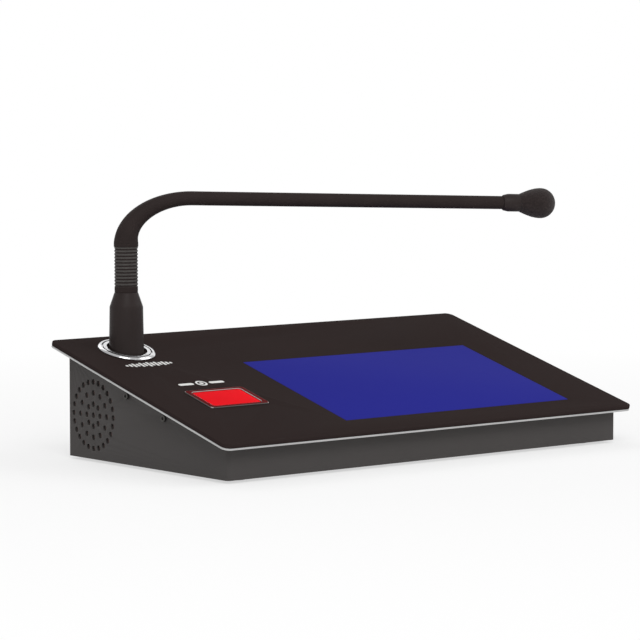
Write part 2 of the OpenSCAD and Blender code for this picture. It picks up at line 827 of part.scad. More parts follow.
// Plunger from the cap down into the contact block
module button_plunger() {
    plunger_end = cup_under - plunger_reach;
    color(black_plastic) on_button() translate([0, 0, plunger_end])
        cylinder(d = plunger_d, h = cap_under - plunger_end);
}

// Clip on the plunger that stops the cap at its upper end
module plunger_clip() {
    color(steel) on_button() translate([0, 0, cup_under - fit_gap - clip_t]) difference() {
        cylinder(d = clip_d, h = clip_t);
        translate([0, 0, -over]) cylinder(d = plunger_bore_d, h = clip_t + 2 * over);
    }
}

// Return spring around the plunger, one unbroken wire
module button_spring() {
    rise = cap_under + cup_depth - spring_wire - 2 * fit_gap;
    steps = spring_turns * spring_turn_steps;
    slope_z = rise / (360 * spring_turns);
    angles = [for (i = [0 : steps]) 360 * spring_turns * i / steps];
    wire_gap = rise / spring_turns - spring_wire;
    echo(spring_gap = wire_gap);
    color(steel) on_button() translate([0, 0, -cup_depth + spring_wire / 2 + fit_gap])
        tube([for (a = angles) [spring_r * cos(a), spring_r * sin(a), slope_z * a]],
            [for (a = angles) unit([-spring_r * sin(a), spring_r * cos(a), slope_z * 180 / PI])],
            [for (a = angles) spring_wire / 2], [0, 0, 1], spring_sides);
}

// Contact block under the cup, with room for the clip and the plunger's end
module contact_block() {
    color(black_plastic) on_button() translate([0, 0, cup_under]) mirror([0, 0, 1]) difference() {
        translate([0, 0, block_h / 2]) cube([block_w, block_l, block_h], center = true);
        translate([0, 0, -over]) cylinder(d = clip_room_d, h = clip_room_h + over);
        translate([0, 0, -over]) cylinder(d = plunger_d + 2 * pass_gap, h = block_bore_h + over);
    }
}

// Frame that holds the cup against the panel from below
module button_retainer() {
    color(black_plastic) on_button() translate([0, 0, -stack_t - retainer_t]) linear_extrude(retainer_t)
        difference() {
            square([cup_w + 2 * retainer_rim, cup_l + 2 * retainer_rim], center = true);
            cup_outline(fit_gap);
        }
}

// Two lamps on the cup's floor that light the cap
module button_lamps() {
    color(lamp_white) on_button() for (sx = [-1, 1]) {
        translate([sx * lamp_offset, 0, -cup_depth]) cylinder(d = lamp_d, h = lamp_h);
    }
}

// Lead from the contact block to the main board
module button_lead() {
    start = to_world([button_x + block_w / 4, button_y, panel_top + cup_under - block_h]);
    finish = [lead_x, button_lead_y, lead_top];
    color(rubber) lead([start, start - lead_drop / 2 * [0, -sin(slope), cos(slope)],
        finish + [0, 0, lead_rise / 2], finish]);
}

// Chrome ring on the panel: two bands with a groove between, cut upright for the sleeve
module socket_ring() {
    groove_r = ring_r - ring_band - ring_groove;
    bore_r = groove_r - ring_band;
    rim_h = ring_h / 2;
    color(chrome) difference() {
        on_panel() translate([mic_x, (mic_y + panel_top * sin(slope)) / cos(slope), panel_top])
            rotate_extrude() difference() {
                polygon([[bore_r, 0], [ring_r, 0], [ring_r, rim_h], [ring_r - rim_h, ring_h],
                    [bore_r, ring_h]]);
                translate([groove_r, ring_h - ring_groove]) square([ring_groove, ring_groove + over]);
            }
        sleeve_hole();
    }
}

// Socket under the panel: a stepped bore for sleeve and nose, and a core for the pins
module mic_socket() {
    color(black_plastic) difference() {
        intersection() {
            translate([mic_x, mic_y, socket_end_z]) cylinder(d = socket_d, h = far);
            under_panel();
        }
        difference() {
            translate([mic_x, mic_y]) {
                translate([0, 0, shoulder_z]) cylinder(d = socket_bore_d, h = far);
                translate([0, 0, socket_floor_z]) cylinder(d = nose_d + 2 * fit_gap, h = far);
            }
            translate([mic_x, mic_y, socket_floor_z - over]) cylinder(d = core_d, h = core_h + over);
        }
        at_pins(socket_floor_z) cylinder(d = pin_d + 2 * fit_gap, h = far);
    }
}

// Solder tails under the socket
module socket_contacts() {
    color(brass) at_pins(socket_end_z - contact_l) cylinder(d = pin_d, h = contact_l);
}

// Lead from the socket to the main board
module mic_lead() {
    start = [mic_x, mic_y, socket_end_z];
    finish = [lead_x, mic_lead_y, lead_top];
    color(rubber) lead([start, start - [0, 0, lead_drop], finish + [0, 0, lead_rise], finish]);
}

// Plug sleeve with its taper and nose, bored for the spine and the pins
module plug_sleeve() {
    color(black_panel) translate([mic_x, mic_y]) rotate_extrude() polygon([
        [boot_bore_d / 2, shoulder_z], [nose_bore_d / 2, shoulder_z], [nose_bore_d / 2, nose_end_z],
        [nose_d / 2, nose_end_z], [nose_d / 2, shoulder_z], [sleeve_d / 2, shoulder_z],
        [sleeve_d / 2, mic_z], [sleeve_top_d / 2, sleeve_top_z], [taper_d / 2, taper_top_z],
        [boot_bore_d / 2, taper_top_z]]);
}

// Insulator that carries the pins
module plug_insert() {
    color(black_plastic) difference() {
        translate([mic_x, mic_y, insert_under_z]) cylinder(d = nose_bore_d - 2 * fit_gap, h = insert_t);
        at_pins(insert_under_z - over) cylinder(d = pin_d + 2 * fit_gap, h = far);
    }
}

// Contact pins of the plug
module plug_pins() {
    color(brass) at_pins(insert_under_z - pin_l) cylinder(d = pin_d, h = pin_l + insert_t);
}

// Ribbed boot with its bore
module neck_boot() {
    rib_r = rib_d / 2;
    groove_r = rib_r - rib_depth;
    outer = concat(
        [[rib_r, taper_top_z], [rib_r, rib_start_z]],
        [for (i = [0 : rib_count - 1])
            let (z = rib_start_z + i * rib_pitch + rib_flank)
                each [[groove_r, z], [groove_r, z + groove_floor], [rib_r, z + groove_floor + rib_flank],
                    [rib_r, z + rib_pitch - rib_flank]]]);
    color(rib_grey) translate([mic_x, mic_y]) rotate_extrude()
        polygon(concat(outer, [[boot_bore_d / 2, boot_top_z], [boot_bore_d / 2, taper_top_z]]));
}

// Flexible spine inside the boot
module neck_spine() {
    color(steel) translate([mic_x, mic_y, taper_top_z - taper_h])
        cylinder(d = spine_d, h = boot_top_z - taper_top_z + taper_h);
}

// Band where the boot ends and the smooth neck begins
module neck_band() {
    color(black_panel) translate([mic_x, mic_y, boot_top_z]) cylinder(d = band_d, h = band_h);
}

// Elbow of the smooth neck, tapering from the band to the arm
module neck_elbow() {
    angles = [for (i = [0 : elbow_steps]) elbow_end_angle * i / elbow_steps];
    color(black_panel) tube([for (a = angles) elbow_point(a)], [for (a = angles) elbow_dir(a)],
        [for (a = angles) (band_d + (arm_d - band_d) * sin(90 * a / elbow_end_angle)) / 2],
        arm_side, elbow_sides);
}

// Straight arm of the neck, slightly tapered
module neck_arm() {
    color(black_panel) on_arm_end() translate([0, 0, -arm_l]) cylinder(d1 = arm_d, d2 = arm_tip_d, h = arm_l);
}

// Collar that grips the arm's end and carries the capsule
module head_collar() {
    bore_r = arm_tip_d / 2 + (arm_d - arm_tip_d) * collar_grip / arm_l / 2 + fit_gap;
    r = collar_d / 2;
    color(black_panel) on_arm_end() translate([0, 0, -collar_grip]) rotate_extrude() polygon([
        [bore_r, 0], [r - collar_taper, 0], [r, collar_taper_l], [r, collar_l], [0, collar_l],
        [0, collar_grip], [bore_r, collar_grip]]);
}

// Electret capsule on the collar's face
module mic_capsule() {
    color(steel) on_arm_end() translate([0, 0, collar_l - collar_grip])
        cylinder(d = capsule_d, h = capsule_l);
}

// Foam windscreen over the capsule
module windscreen() {
    bore_r = capsule_d / 2 + fit_gap;
    bore_l = capsule_l + fit_gap;
    outer = [for (i = [0 : screen_steps]) let (x = screen_l * i / screen_steps) [screen_r(x), x]];
    color(black_panel) on_arm_end() translate([0, 0, collar_l - collar_grip]) rotate_extrude()
        polygon(concat([[0, bore_l], [bore_r, bore_l], [bore_r, 0]], outer));
}

// Acoustic cloth behind the grille holes
module grille_cloth() {
    color(rubber) on_speaker(cloth_x) cylinder(d = speaker_d, h = cloth_t);
}

// Foam ring that seals and sticks the loudspeaker to the wall
module speaker_gasket() {
    color(rubber) on_speaker(gasket_x) linear_extrude(gasket_t) difference() {
        circle(d = speaker_d);
        circle(d = speaker_d - 2 * speaker_flange);
    }
}

// Pressed steel frame of the loudspeaker
module speaker_frame() {
    r = speaker_d / 2;
    color(steel) on_speaker(frame_x) rotate_extrude() polygon([
        [speaker_mouth_r - speaker_wall, 0], [r, 0], [r, speaker_wall], [speaker_mouth_r, speaker_wall],
        [speaker_back_r, speaker_frame_h], [0, speaker_frame_h], [0, speaker_frame_h - speaker_wall],
        [speaker_back_r - speaker_wall, speaker_frame_h - speaker_wall]]);
}

// Paper cone with its surround and dust cap
module speaker_cone() {
    neck_r = cone_rim_r / 3;
    depth = (speaker_frame_h - speaker_wall) / 2;
    inner_r = cone_rim_r - speaker_flange;
    color(black_plastic) on_speaker(frame_x) rotate_extrude() polygon([
        [0, depth / 2], [neck_r, depth], [inner_r, 0], [cone_rim_r, 0], [cone_rim_r, cone_t],
        [inner_r, cone_t], [neck_r, depth + cone_t], [0, depth / 2 + cone_t]]);
}

// Magnet on the back of the loudspeaker's frame
module speaker_magnet() {
    color(steel) on_speaker(magnet_x) cylinder(d = magnet_d, h = magnet_h);
}

// Lead from the loudspeaker to the main board
module speaker_lead() {
    start = [magnet_x + magnet_h, speaker_y - magnet_d / 4, speaker_z - magnet_d / 4];
    finish = [lead_x, speaker_lead_y, lead_top];
    color(rubber) lead([start, start + [lead_drop, 0, 0], finish + [0, 0, lead_rise], finish]);
}

// Main board with its fixing holes
module main_board() {
    color(board_green) difference() {
        translate([board_x, board_y, board_z + board_t / 2]) cube([board_w, board_l, board_t], center = true);
        at_standoffs(board_z - over) cylinder(d = board_screw_d + 2 * pass_gap, h = board_t + 2 * over);
    }
}

// Processor, power module, chokes, capacitors and connectors on the main board
module board_parts() {
    chip = 18;
    chip_h = 2;
    can_d = 8;
    can_h = 9;
    can_pitch = 11;
    can_count = 3;
    choke = 12;
    choke_h = 6;
    color(black_plastic) {
        translate([board_x, board_y - chip / 2, board_top + chip_h / 2])
            cube([chip, chip, chip_h], center = true);
        translate([board_x + 2 * chip, board_y, board_top + chip_h / 2])
            cube([chip / 2, chip, chip_h], center = true);
        translate([board_x + 3 * chip, board_y, board_top + choke_h / 2])
            cube([choke, choke, choke_h], center = true);
        for (i = [0 : can_count - 1]) {
            translate([board_x - chip - i * can_pitch, board_y + chip, board_top])
                cylinder(d = can_d, h = can_h);
        }
        for (y = [button_lead_y, speaker_lead_y, mic_lead_y]) {
            translate([lead_x, y, board_top + connector_h / 2])
                cube([connector_w, connector_l, connector_h], center = true);
        }
        translate([glass_x, ribbon_y - lead_drop, board_top + connector_h / 2])
            cube([ribbon_w + connector_h, connector_l, connector_h], center = true);
    }
}

// Standoffs between the case floor and the board
module board_standoffs() {
    color(brass) at_standoffs(floor_z) difference() {
        cylinder(d = standoff_d, h = standoff_h);
        translate([0, 0, over]) cylinder(d = board_screw_d + 2 * fit_gap, h = standoff_h);
    }
}

// Screws that hold the board on its standoffs
module board_screws() {
    color(steel) at_standoffs(board_top) screw(board_screw_d, board_screw_head_d, board_screw_head_h,
        board_screw_d, board_screw_head_h / 2, standoff_h + board_t - 2 * over);
}

// Network socket at the board's back edge
module network_jack() {
    key_w = network_hole_w / 2;
    key_h = (network_h - network_hole_h) / 4;
    color(black_plastic) difference() {
        translate([network_x - network_w / 2, jack_face_y - network_l, board_top])
            cube([network_w, network_l, network_h]);
        translate([network_x - network_hole_w / 2, jack_face_y - network_hole_l, network_hole_z])
            cube([network_hole_w, network_hole_l + over, network_hole_h]);
        translate([network_x - key_w / 2, jack_face_y - network_hole_l, network_hole_z - key_h])
            cube([key_w, network_hole_l + over, network_hole_h]);
    }
}

// Spring contacts under the roof of the network socket
module jack_contacts() {
    first_x = network_x - (jack_contact_count - 1) / 2 * jack_contact_pitch;
    contact_y = jack_face_y - network_hole_l + jack_contact_l / 2;
    contact_z = network_hole_z + network_hole_h - jack_contact_t / 2;
    color(brass) for (i = [0 : jack_contact_count - 1]) {
        translate([first_x + i * jack_contact_pitch, contact_y, contact_z])
            cube([jack_contact_t, jack_contact_l, jack_contact_t], center = true);
    }
}

// Power socket beside the network socket
module power_jack() {
    color(black_plastic) difference() {
        translate([power_x - power_w / 2, jack_face_y - power_l, board_top])
            cube([power_w, power_l, power_h]);
        translate([power_x, jack_face_y + over, power_axis_z]) rotate([90, 0, 0])
            cylinder(d = power_bore_d, h = power_bore_l + over);
    }
}

// Centre pin of the power socket
module power_pin() {
    color(steel) translate([power_x, jack_face_y - over, power_axis_z]) rotate([90, 0, 0])
        cylinder(d = power_pin_d, h = power_bore_l - over);
}

// Socket panel on the back wall
module rear_panel() {
    color(black_plastic) difference() {
        translate([jacks_mid_x, case_back_y + rear_t / 2, rear_z])
            cube([rear_w, rear_t, rear_h], center = true);
        translate([network_x, case_back_y, board_top + network_h / 2])
            cube([network_w + 2 * window_gap, 4 * rear_t, network_h + 2 * window_gap], center = true);
        translate([power_x, case_back_y, power_axis_z])
            cube([power_w + 2 * window_gap, 4 * rear_t, power_h + 2 * window_gap], center = true);
        at_rear_screws() cylinder(d = screw_hole_d, h = 4 * rear_t, center = true);
    }
}

// Four screws of the socket panel
module rear_screws() {
    color(steel) at_rear_screws()
        screw(screw_d, screw_head_d, screw_head_h, screw_socket_d, screw_socket_h, screw_l);
}

case_shell();
rubber_feet();
panel_plate();
panel_overlay();
left_bracket();
right_bracket();
side_screws();
touch_glass();
lcd_module();
lcd_clamps();
clamp_nuts();
display_ribbon();
button_bezel();
button_cap();
button_plunger();
plunger_clip();
button_spring();
contact_block();
button_retainer();
button_lamps();
button_lead();
socket_ring();
mic_socket();
socket_contacts();
mic_lead();
plug_sleeve();
plug_insert();
plug_pins();
neck_boot();
neck_spine();
neck_band();
neck_elbow();
neck_arm();
head_collar();
mic_capsule();
windscreen();
grille_cloth();
speaker_gasket();
speaker_frame();
speaker_cone();
speaker_magnet();
speaker_lead();
main_board();
board_parts();
board_standoffs();
board_screws();
network_jack();
jack_contacts();
power_jack();
power_pin();
rear_panel();
rear_screws();
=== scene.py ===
"""Looks of a desk paging console with a gooseneck microphone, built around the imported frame."""

import json
import math

import bmesh
import bpy
from mathutils import Matrix, Vector, noise


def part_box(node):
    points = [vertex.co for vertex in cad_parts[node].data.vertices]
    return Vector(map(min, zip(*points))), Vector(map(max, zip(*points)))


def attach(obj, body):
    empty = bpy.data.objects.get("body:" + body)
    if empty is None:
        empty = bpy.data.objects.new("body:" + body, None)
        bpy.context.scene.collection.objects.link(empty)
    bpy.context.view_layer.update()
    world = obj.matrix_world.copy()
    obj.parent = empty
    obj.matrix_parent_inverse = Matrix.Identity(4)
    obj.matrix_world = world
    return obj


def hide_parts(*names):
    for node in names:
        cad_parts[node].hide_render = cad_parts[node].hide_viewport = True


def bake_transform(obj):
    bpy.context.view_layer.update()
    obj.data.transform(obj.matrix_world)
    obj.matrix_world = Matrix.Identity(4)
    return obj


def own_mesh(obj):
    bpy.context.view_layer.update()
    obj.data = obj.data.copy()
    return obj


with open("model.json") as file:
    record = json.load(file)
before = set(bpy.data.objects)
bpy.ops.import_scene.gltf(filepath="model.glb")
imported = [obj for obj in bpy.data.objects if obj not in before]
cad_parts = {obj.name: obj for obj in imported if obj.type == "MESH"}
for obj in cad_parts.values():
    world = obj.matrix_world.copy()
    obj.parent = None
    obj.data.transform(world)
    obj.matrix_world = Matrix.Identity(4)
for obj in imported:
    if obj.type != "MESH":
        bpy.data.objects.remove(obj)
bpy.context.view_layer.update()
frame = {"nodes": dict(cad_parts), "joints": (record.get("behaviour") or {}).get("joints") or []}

MM = 0.001
NODES = frame["nodes"]
JOINTS = {joint["name"]: joint for joint in frame["joints"]}

# Panel frame: across to the right, up the slope, and out of the top face
ACROSS = Vector((1, 0, 0))
OUT = -Vector(JOINTS["button_press"]["axis"]).normalized()
UP_SLOPE = OUT.cross(ACROSS)


def node_points(node):
    """All vertices of a CAD node, in the shared frame."""
    return [vertex.co.copy() for vertex in NODES[node].data.vertices]


def spread(points, axis):
    """Lowest and highest place of points along an axis."""
    places = [point.dot(axis) for point in points]
    return min(places), max(places)


def middle(points, axis):
    """Middle of the points' extent along an axis."""
    low, high = spread(points, axis)
    return (low + high) / 2


OVERLAY = node_points("panel_overlay")
PANEL_TOP = spread(OVERLAY, OUT)[1]
PANEL_MIDDLE = middle(OVERLAY, UP_SLOPE)


def on_panel(x, y, height=0.0):
    """Point on the panel's top face: x to the right and y up the slope from its middle."""
    return ACROSS * x + UP_SLOPE * (PANEL_MIDDLE + y) + OUT * (PANEL_TOP + height)


def panel_place(node):
    """Middle of a node in the panel's own x and y."""
    points = node_points(node)
    return middle(points, ACROSS), middle(points, UP_SLOPE) - PANEL_MIDDLE


# Camera: AIM_POINT shows at AIM_PIXEL of the photograph's square frame
IMAGE_SIZE = 640
SENSOR = 36.0
FOCAL_PIXELS = 3175
VIEW_AZIMUTH = math.radians(-39.8)
VIEW_ELEVATION = math.radians(4.7)
VIEW_DISTANCE = 1.661
AIM_POINT = Vector((0, 0, 0.040))
AIM_PIXEL = (346.6, 374.0)
CLIP_END = 50


def make_camera():
    """Long-lens camera at the photograph's viewing angle."""
    right = Vector((math.cos(VIEW_AZIMUTH), math.sin(VIEW_AZIMUTH), 0))
    ahead = Vector((-math.sin(VIEW_AZIMUTH), math.cos(VIEW_AZIMUTH), 0))
    forward = ahead * math.cos(VIEW_ELEVATION) - Vector((0, 0, math.sin(VIEW_ELEVATION)))
    up = right.cross(forward)
    metres_per_pixel = VIEW_DISTANCE / FOCAL_PIXELS
    aim = AIM_POINT + right * (IMAGE_SIZE / 2 - AIM_PIXEL[0]) * metres_per_pixel
    aim += up * (AIM_PIXEL[1] - IMAGE_SIZE / 2) * metres_per_pixel
    data = bpy.data.cameras.new("camera")
    data.sensor_width = SENSOR
    data.lens = FOCAL_PIXELS / IMAGE_SIZE * SENSOR
    data.clip_end = CLIP_END
    camera = bpy.data.objects.new("camera", data)
    turn = Matrix((right, up, -forward)).transposed().to_4x4()
    camera.matrix_world = Matrix.Translation(aim - forward * VIEW_DISTANCE) @ turn
    bpy.context.scene.collection.objects.link(camera)
    bpy.context.scene.camera = camera


make_camera()


# Materials
MAP_SOCKETS = ("From Min", "From Max", "To Min", "To Max")
# Numbers of the mix node's colour sockets
MIX_FIRST, MIX_SECOND, MIX_RESULT = 6, 7, 2
# Part of the noise's range over which a patch goes from its darkest to its lightest
NOISE_RANGE = (0.3, 0.7)
# Stretch of a noise that isn't drawn out along an axis
EVEN = (1, 1, 1)
# Worn edges: cosines of the turn where wear starts and is full, and the noise that breaks it up
WEAR_TURN = (0.98, 0.80)
WEAR_SAMPLES = 4
WEAR_SIZE = 6 * MM
WEAR_NOISE = (0.35, 0.65)
WEAR_SHARE = (0.1, 0.8)


def colour(red, green, blue):
    """Linear colour from screen values of 0 to 255, by the sRGB curve."""
    def linear(value):
        value /= 255
        return value / 12.92 if value <= 0.04045 else ((value + 0.055) / 1.055) ** 2.4
    return (linear(red), linear(green), linear(blue), 1.0)


class Finish:
    """A procedural material: a base shader plus patches, grain and worn edges."""

    def __init__(self, name, base, roughness, specular, metallic=0.0):
        self.material = bpy.data.materials.new(name)
        self.material.use_nodes = True
        self.tree = self.material.node_tree
        self.shader = self.tree.nodes["Principled BSDF"]
        self.base = base
        self.tint = base
        self.set("Base Color", base)
        self.set("Roughness", roughness)
        self.set("Specular IOR Level", specular)
        self.set("Metallic", metallic)
        self.place = self.add("ShaderNodeTexCoord").outputs["Object"]

    def add(self, kind, **settings):
        """A new node with its settings."""
        node = self.tree.nodes.new(kind)
        for key, value in settings.items():
            setattr(node, key, value)
        return node

    def set(self, socket, value):
        """Sets a plain value of the base shader."""
        self.shader.inputs[socket].default_value = value

    def link(self, source, target):
        """Joins an output to an input."""
        self.tree.links.new(source, target)

    def noise(self, size, detail=3.0, stretch=EVEN):
        """Noise whose features are about size metres across, drawn out along an axis by stretch."""
        mapping = self.add("ShaderNodeMapping")
        mapping.inputs["Scale"].default_value = [1 / (size * s) for s in stretch]
        self.link(self.place, mapping.inputs["Vector"])
        texture = self.add("ShaderNodeTexNoise")
        texture.inputs["Scale"].default_value = 1.0
        texture.inputs["Detail"].default_value = detail
        self.link(mapping.outputs["Vector"], texture.inputs["Vector"])
        return texture.outputs["Fac"]

    def cells(self, size):
        """Distance to the nearest cell centre, for pores about size metres across."""
        texture = self.add("ShaderNodeTexVoronoi")
        texture.inputs["Scale"].default_value = 1 / size
        self.link(self.place, texture.inputs["Vector"])
        return texture.outputs["Distance"]

    def span(self, value, low, high, new_low, new_high):
        """Maps a value's range to another."""
        node = self.add("ShaderNodeMapRange")
        for socket, number in zip(MAP_SOCKETS, (low, high, new_low, new_high)):
            node.inputs[socket].default_value = number
        self.link(value, node.inputs["Value"])
        return node.outputs["Result"]

    def mix(self, factor, first, second):
        """Colour between two, each a colour or a socket."""
        node = self.add("ShaderNodeMix", data_type="RGBA")
        self.link(factor, node.inputs["Factor"])
        for number, value in ((MIX_FIRST, first), (MIX_SECOND, second)):
            socket = node.inputs[number]
            if isinstance(value, bpy.types.NodeSocket):
                self.link(value, socket)
            else:
                socket.default_value = value
        return node.outputs[MIX_RESULT]

    def patches(self, size, amount, rough_amount, stretch=EVEN):
        """Slow changes of colour and roughness over the surface."""
        value = self.noise(size, stretch=stretch)
        dark = [channel * (1 - amount) for channel in self.base[:3]] + [1]
        light = [min(1, channel * (1 + amount)) for channel in self.base[:3]] + [1]
        self.tint = self.mix(self.span(value, *NOISE_RANGE, 0, 1), dark, light)
        self.link(self.tint, self.shader.inputs["Base Color"])
        rough = self.shader.inputs["Roughness"].default_value
        level = self.span(value, *NOISE_RANGE, rough - rough_amount, rough + rough_amount)
        self.link(level, self.shader.inputs["Roughness"])

    def grain(self, height, depth, strength):
        """Fine relief from a height socket."""
        bump = self.add("ShaderNodeBump")
        bump.inputs["Strength"].default_value = strength
        bump.inputs["Distance"].default_value = depth
        self.link(height, bump.inputs["Height"])
        self.link(bump.outputs["Normal"], self.shader.inputs["Normal"])
        return self

    def worn_edges(self, radius, shade):
        """Lighter colour along sharp edges, broken up by noise."""
        soft = self.add("ShaderNodeBevel", samples=WEAR_SAMPLES)
        soft.inputs["Radius"].default_value = radius
        sharp = self.add("ShaderNodeNewGeometry")
        dot = self.add("ShaderNodeVectorMath", operation="DOT_PRODUCT")
        self.link(soft.outputs["Normal"], dot.inputs[0])
        self.link(sharp.outputs["Normal"], dot.inputs[1])
        edge = self.span(dot.outputs["Value"], *WEAR_TURN, 0, 1)
        broken = self.add("ShaderNodeMath", operation="MULTIPLY")
        self.link(edge, broken.inputs[0])
        self.link(self.span(self.noise(WEAR_SIZE), *WEAR_NOISE, *WEAR_SHARE), broken.inputs[1])
        self.link(self.mix(broken.outputs["Value"], self.tint, shade), self.shader.inputs["Base Color"])


OVERLAY_BLACK = colour(48, 40, 39)
NECK_BLACK = colour(48, 41, 40)
CASE_GREY = colour(71, 68, 67)
WORN_GREY = colour(112, 108, 105)
SILVER = colour(190, 190, 190)


def surface(name, base, roughness, specular, patch, grain, wear=None, metallic=0.0, drawn=(EVEN, EVEN)):
    """A finish with its patches and grain, in millimetres, and the colour of its worn edges.

    patch is a size, an amount and a change of roughness, grain is a size, a depth and a strength, wear is a
    radius and a colour, and drawn is how far the patches and the grain are drawn out along each axis.
    """
    finish = Finish(name, base, roughness, specular, metallic)
    patch_size, amount, rough_amount = patch
    finish.patches(patch_size * MM, amount, rough_amount, drawn[0])
    if wear:
        radius, shade = wear
        finish.worn_edges(radius * MM, shade)
    grain_size, depth, strength = grain
    return finish.grain(finish.noise(grain_size * MM, stretch=drawn[1]), depth * MM, strength)


def moulded(name, shade, roughness, specular):
    """Moulded plastic with a fine spark-eroded texture."""
    return surface(name, colour(*shade), roughness, specular, patch=(25, 0.06, 0.05),
                   grain=(0.35, 0.02, 0.5))


def plated(name, shade, roughness):
    """Plated metal with faint drawn lines."""
    return surface(name, colour(*shade), roughness, 0.5, patch=(3, 0.12, 0.08), grain=(0.2, 0.01, 0.3),
                   metallic=1.0, drawn=((1, 6, 1), (1, 12, 1)))


# Moulded plastics: material, screen colour, roughness and specular level, by look
PLASTICS = {
    "cap": ("red_cap_plastic", (235, 26, 36), 0.5, 0.004),
    "bezel": ("dark_red_frame_plastic", (92, 18, 20), 0.5, 0.01),
    # Grey painted highlight on the frame's outer walls, and the darker copy of the pale one on walls turned
    # up the slope
    "frame_dim_painted_highlight": ("frame_dim_painted_highlight", (92, 92, 90), 0.4, 0.3),
    # Pale painted highlight on the frame's inner walls that face down the slope and sideways
    "frame_pale_painted_highlight": ("frame_pale_painted_highlight", (190, 182, 180), 0.35, 0.3),
    "inner": ("black_moulding", (30, 30, 30), 0.45, 0.3),
    "jack": ("socket_moulding", (26, 26, 27), 0.4, 0.3),
    "lamp": ("lamp_lens", (240, 216, 204), 0.2, 0.3),
    "board": ("solder_mask", (20, 76, 40), 0.35, 0.3),
    "film": ("flat_cable_film", (178, 128, 52), 0.4, 0.3),
    "module": ("module_tray", (140, 140, 142), 0.4, 0.3),
    # Near black painted shade in the chrome ring's groove
    "groove": ("ring_groove_painted_shade", (24, 22, 22), 0.6, 0.1),
    "print": ("white_print_ink", (228, 228, 226), 0.7, 0.1),
}
# Plated metals: material, screen colour and roughness, by look
METALS = {
    "steel": ("plated_steel", (150, 150, 152), 0.32),
    "screw": ("screw_steel", (80, 78, 76), 0.5),
    "brass": ("contact_brass", (200, 160, 74), 0.32),
    "magnet": ("magnet_plating", (90, 90, 92), 0.45),
    "capsule": ("capsule_can", (150, 150, 150), 0.32),
}


def make_coatings():
    """Paints, films and bare metal of the console."""
    return {
        "case": surface("case_powder_coat", CASE_GREY, 0.62, 0.22, patch=(45, 0.05, 0.05),
                        grain=(0.5, 0.06, 0.45), wear=(0.5, WORN_GREY)),
        "overlay": surface("overlay_matte_film", OVERLAY_BLACK, 0.65, 0.004, patch=(60, 0.05, 0.05),
                           grain=(0.3, 0.03, 0.3)),
        "plate": surface("milled_aluminium_edge", SILVER, 0.4, 0.5, patch=(2, 0.08, 0.1),
                         grain=(0.15, 0.015, 0.3), metallic=0.55, drawn=((8, 8, 1), (14, 14, 1))),
        "chrome": surface("ring_chrome", colour(225, 225, 227), 0.16, 0.5, patch=(4, 0.05, 0.05),
                          grain=(0.4, 0.004, 0.2), metallic=1.0),
        "sleeve": surface("sleeve_satin_paint", NECK_BLACK, 0.45, 0.12, patch=(14, 0.07, 0.05),
                          grain=(0.4, 0.02, 0.35), wear=(0.4, colour(92, 84, 82))),
        "rear": surface("rear_panel_paint", colour(38, 36, 36), 0.5, 0.25, patch=(20, 0.06, 0.05),
                        grain=(0.4, 0.03, 0.4), wear=(0.3, WORN_GREY)),
    }


def make_soft_looks():
    """Rubber, insulation, cloth and paper."""
    return {
        "sheath": surface("neck_rubber_sheath", NECK_BLACK, 0.6, 0.05, patch=(10, 0.08, 0.06),
                          grain=(0.25, 0.02, 0.4)),
        # Paler colour painted on the boot's rib crests as a highlight
        "crest": surface("boot_rib_crest_painted_highlight", colour(74, 71, 69), 0.52, 0.15, patch=(3, 0.12, 0.05),
                         grain=(0.2, 0.02, 0.4)),
        "rubber": surface("foot_rubber", colour(24, 24, 24), 0.75, 0.2, patch=(5, 0.15, 0.05),
                          grain=(0.3, 0.04, 0.5)),
        "lead": surface("lead_insulation", colour(30, 28, 28), 0.55, 0.25, patch=(6, 0.1, 0.05),
                        grain=(0.3, 0.02, 0.5)),
        # Cloth colour lifted above the real dark cloth: painted light that offsets the shade inside the
        # grille holes
        "cloth": surface("acoustic_cloth", colour(110, 95, 92), 0.9, 0.05, patch=(0.5, 0.35, 0.05),
                         grain=(0.3, 0.08, 0.5), drawn=(EVEN, (1, 1, 3))),
        "paper": surface("cone_paper", colour(28, 27, 27), 0.85, 0.1, patch=(1.5, 0.2, 0.05),
                         grain=(0.3, 0.05, 0.5)),
    }


FOAM_PORE = 0.55 * MM
FOAM_PORE_DEPTH = 0.25 * MM


def make_foam():
    """Open-cell foam of the windscreen, with a soft sheen."""
    foam = Finish("windscreen_foam", colour(46, 39, 38), 0.95, 0.03)
    foam.patches(1.2 * MM, 0.25, 0.03)
    foam.set("Sheen Weight", 0.12)
    foam.set("Sheen Roughness", 0.6)
    return foam.grain(foam.cells(FOAM_PORE), FOAM_PORE_DEPTH, 0.7)


DISPLAY_BLUE = colour(46, 48, 143)
GRID_BLUE = colour(36, 36, 116)
PIXEL_PITCH = 0.4 * MM
# The wave node's bands repeat over this length, divided by its scale
WAVE_PERIOD = math.pi / 10
GRID_SHARE = 0.25
GLOW_SIZE = 90 * MM
GLOW_CHANGE = 0.05
UNLIT_SHARE = 0.45
GLOW_STRENGTH = 0.5


def scaled(shade, factor):
    """A colour made lighter or darker."""
    return [channel * factor for channel in shade[:3]] + [1]


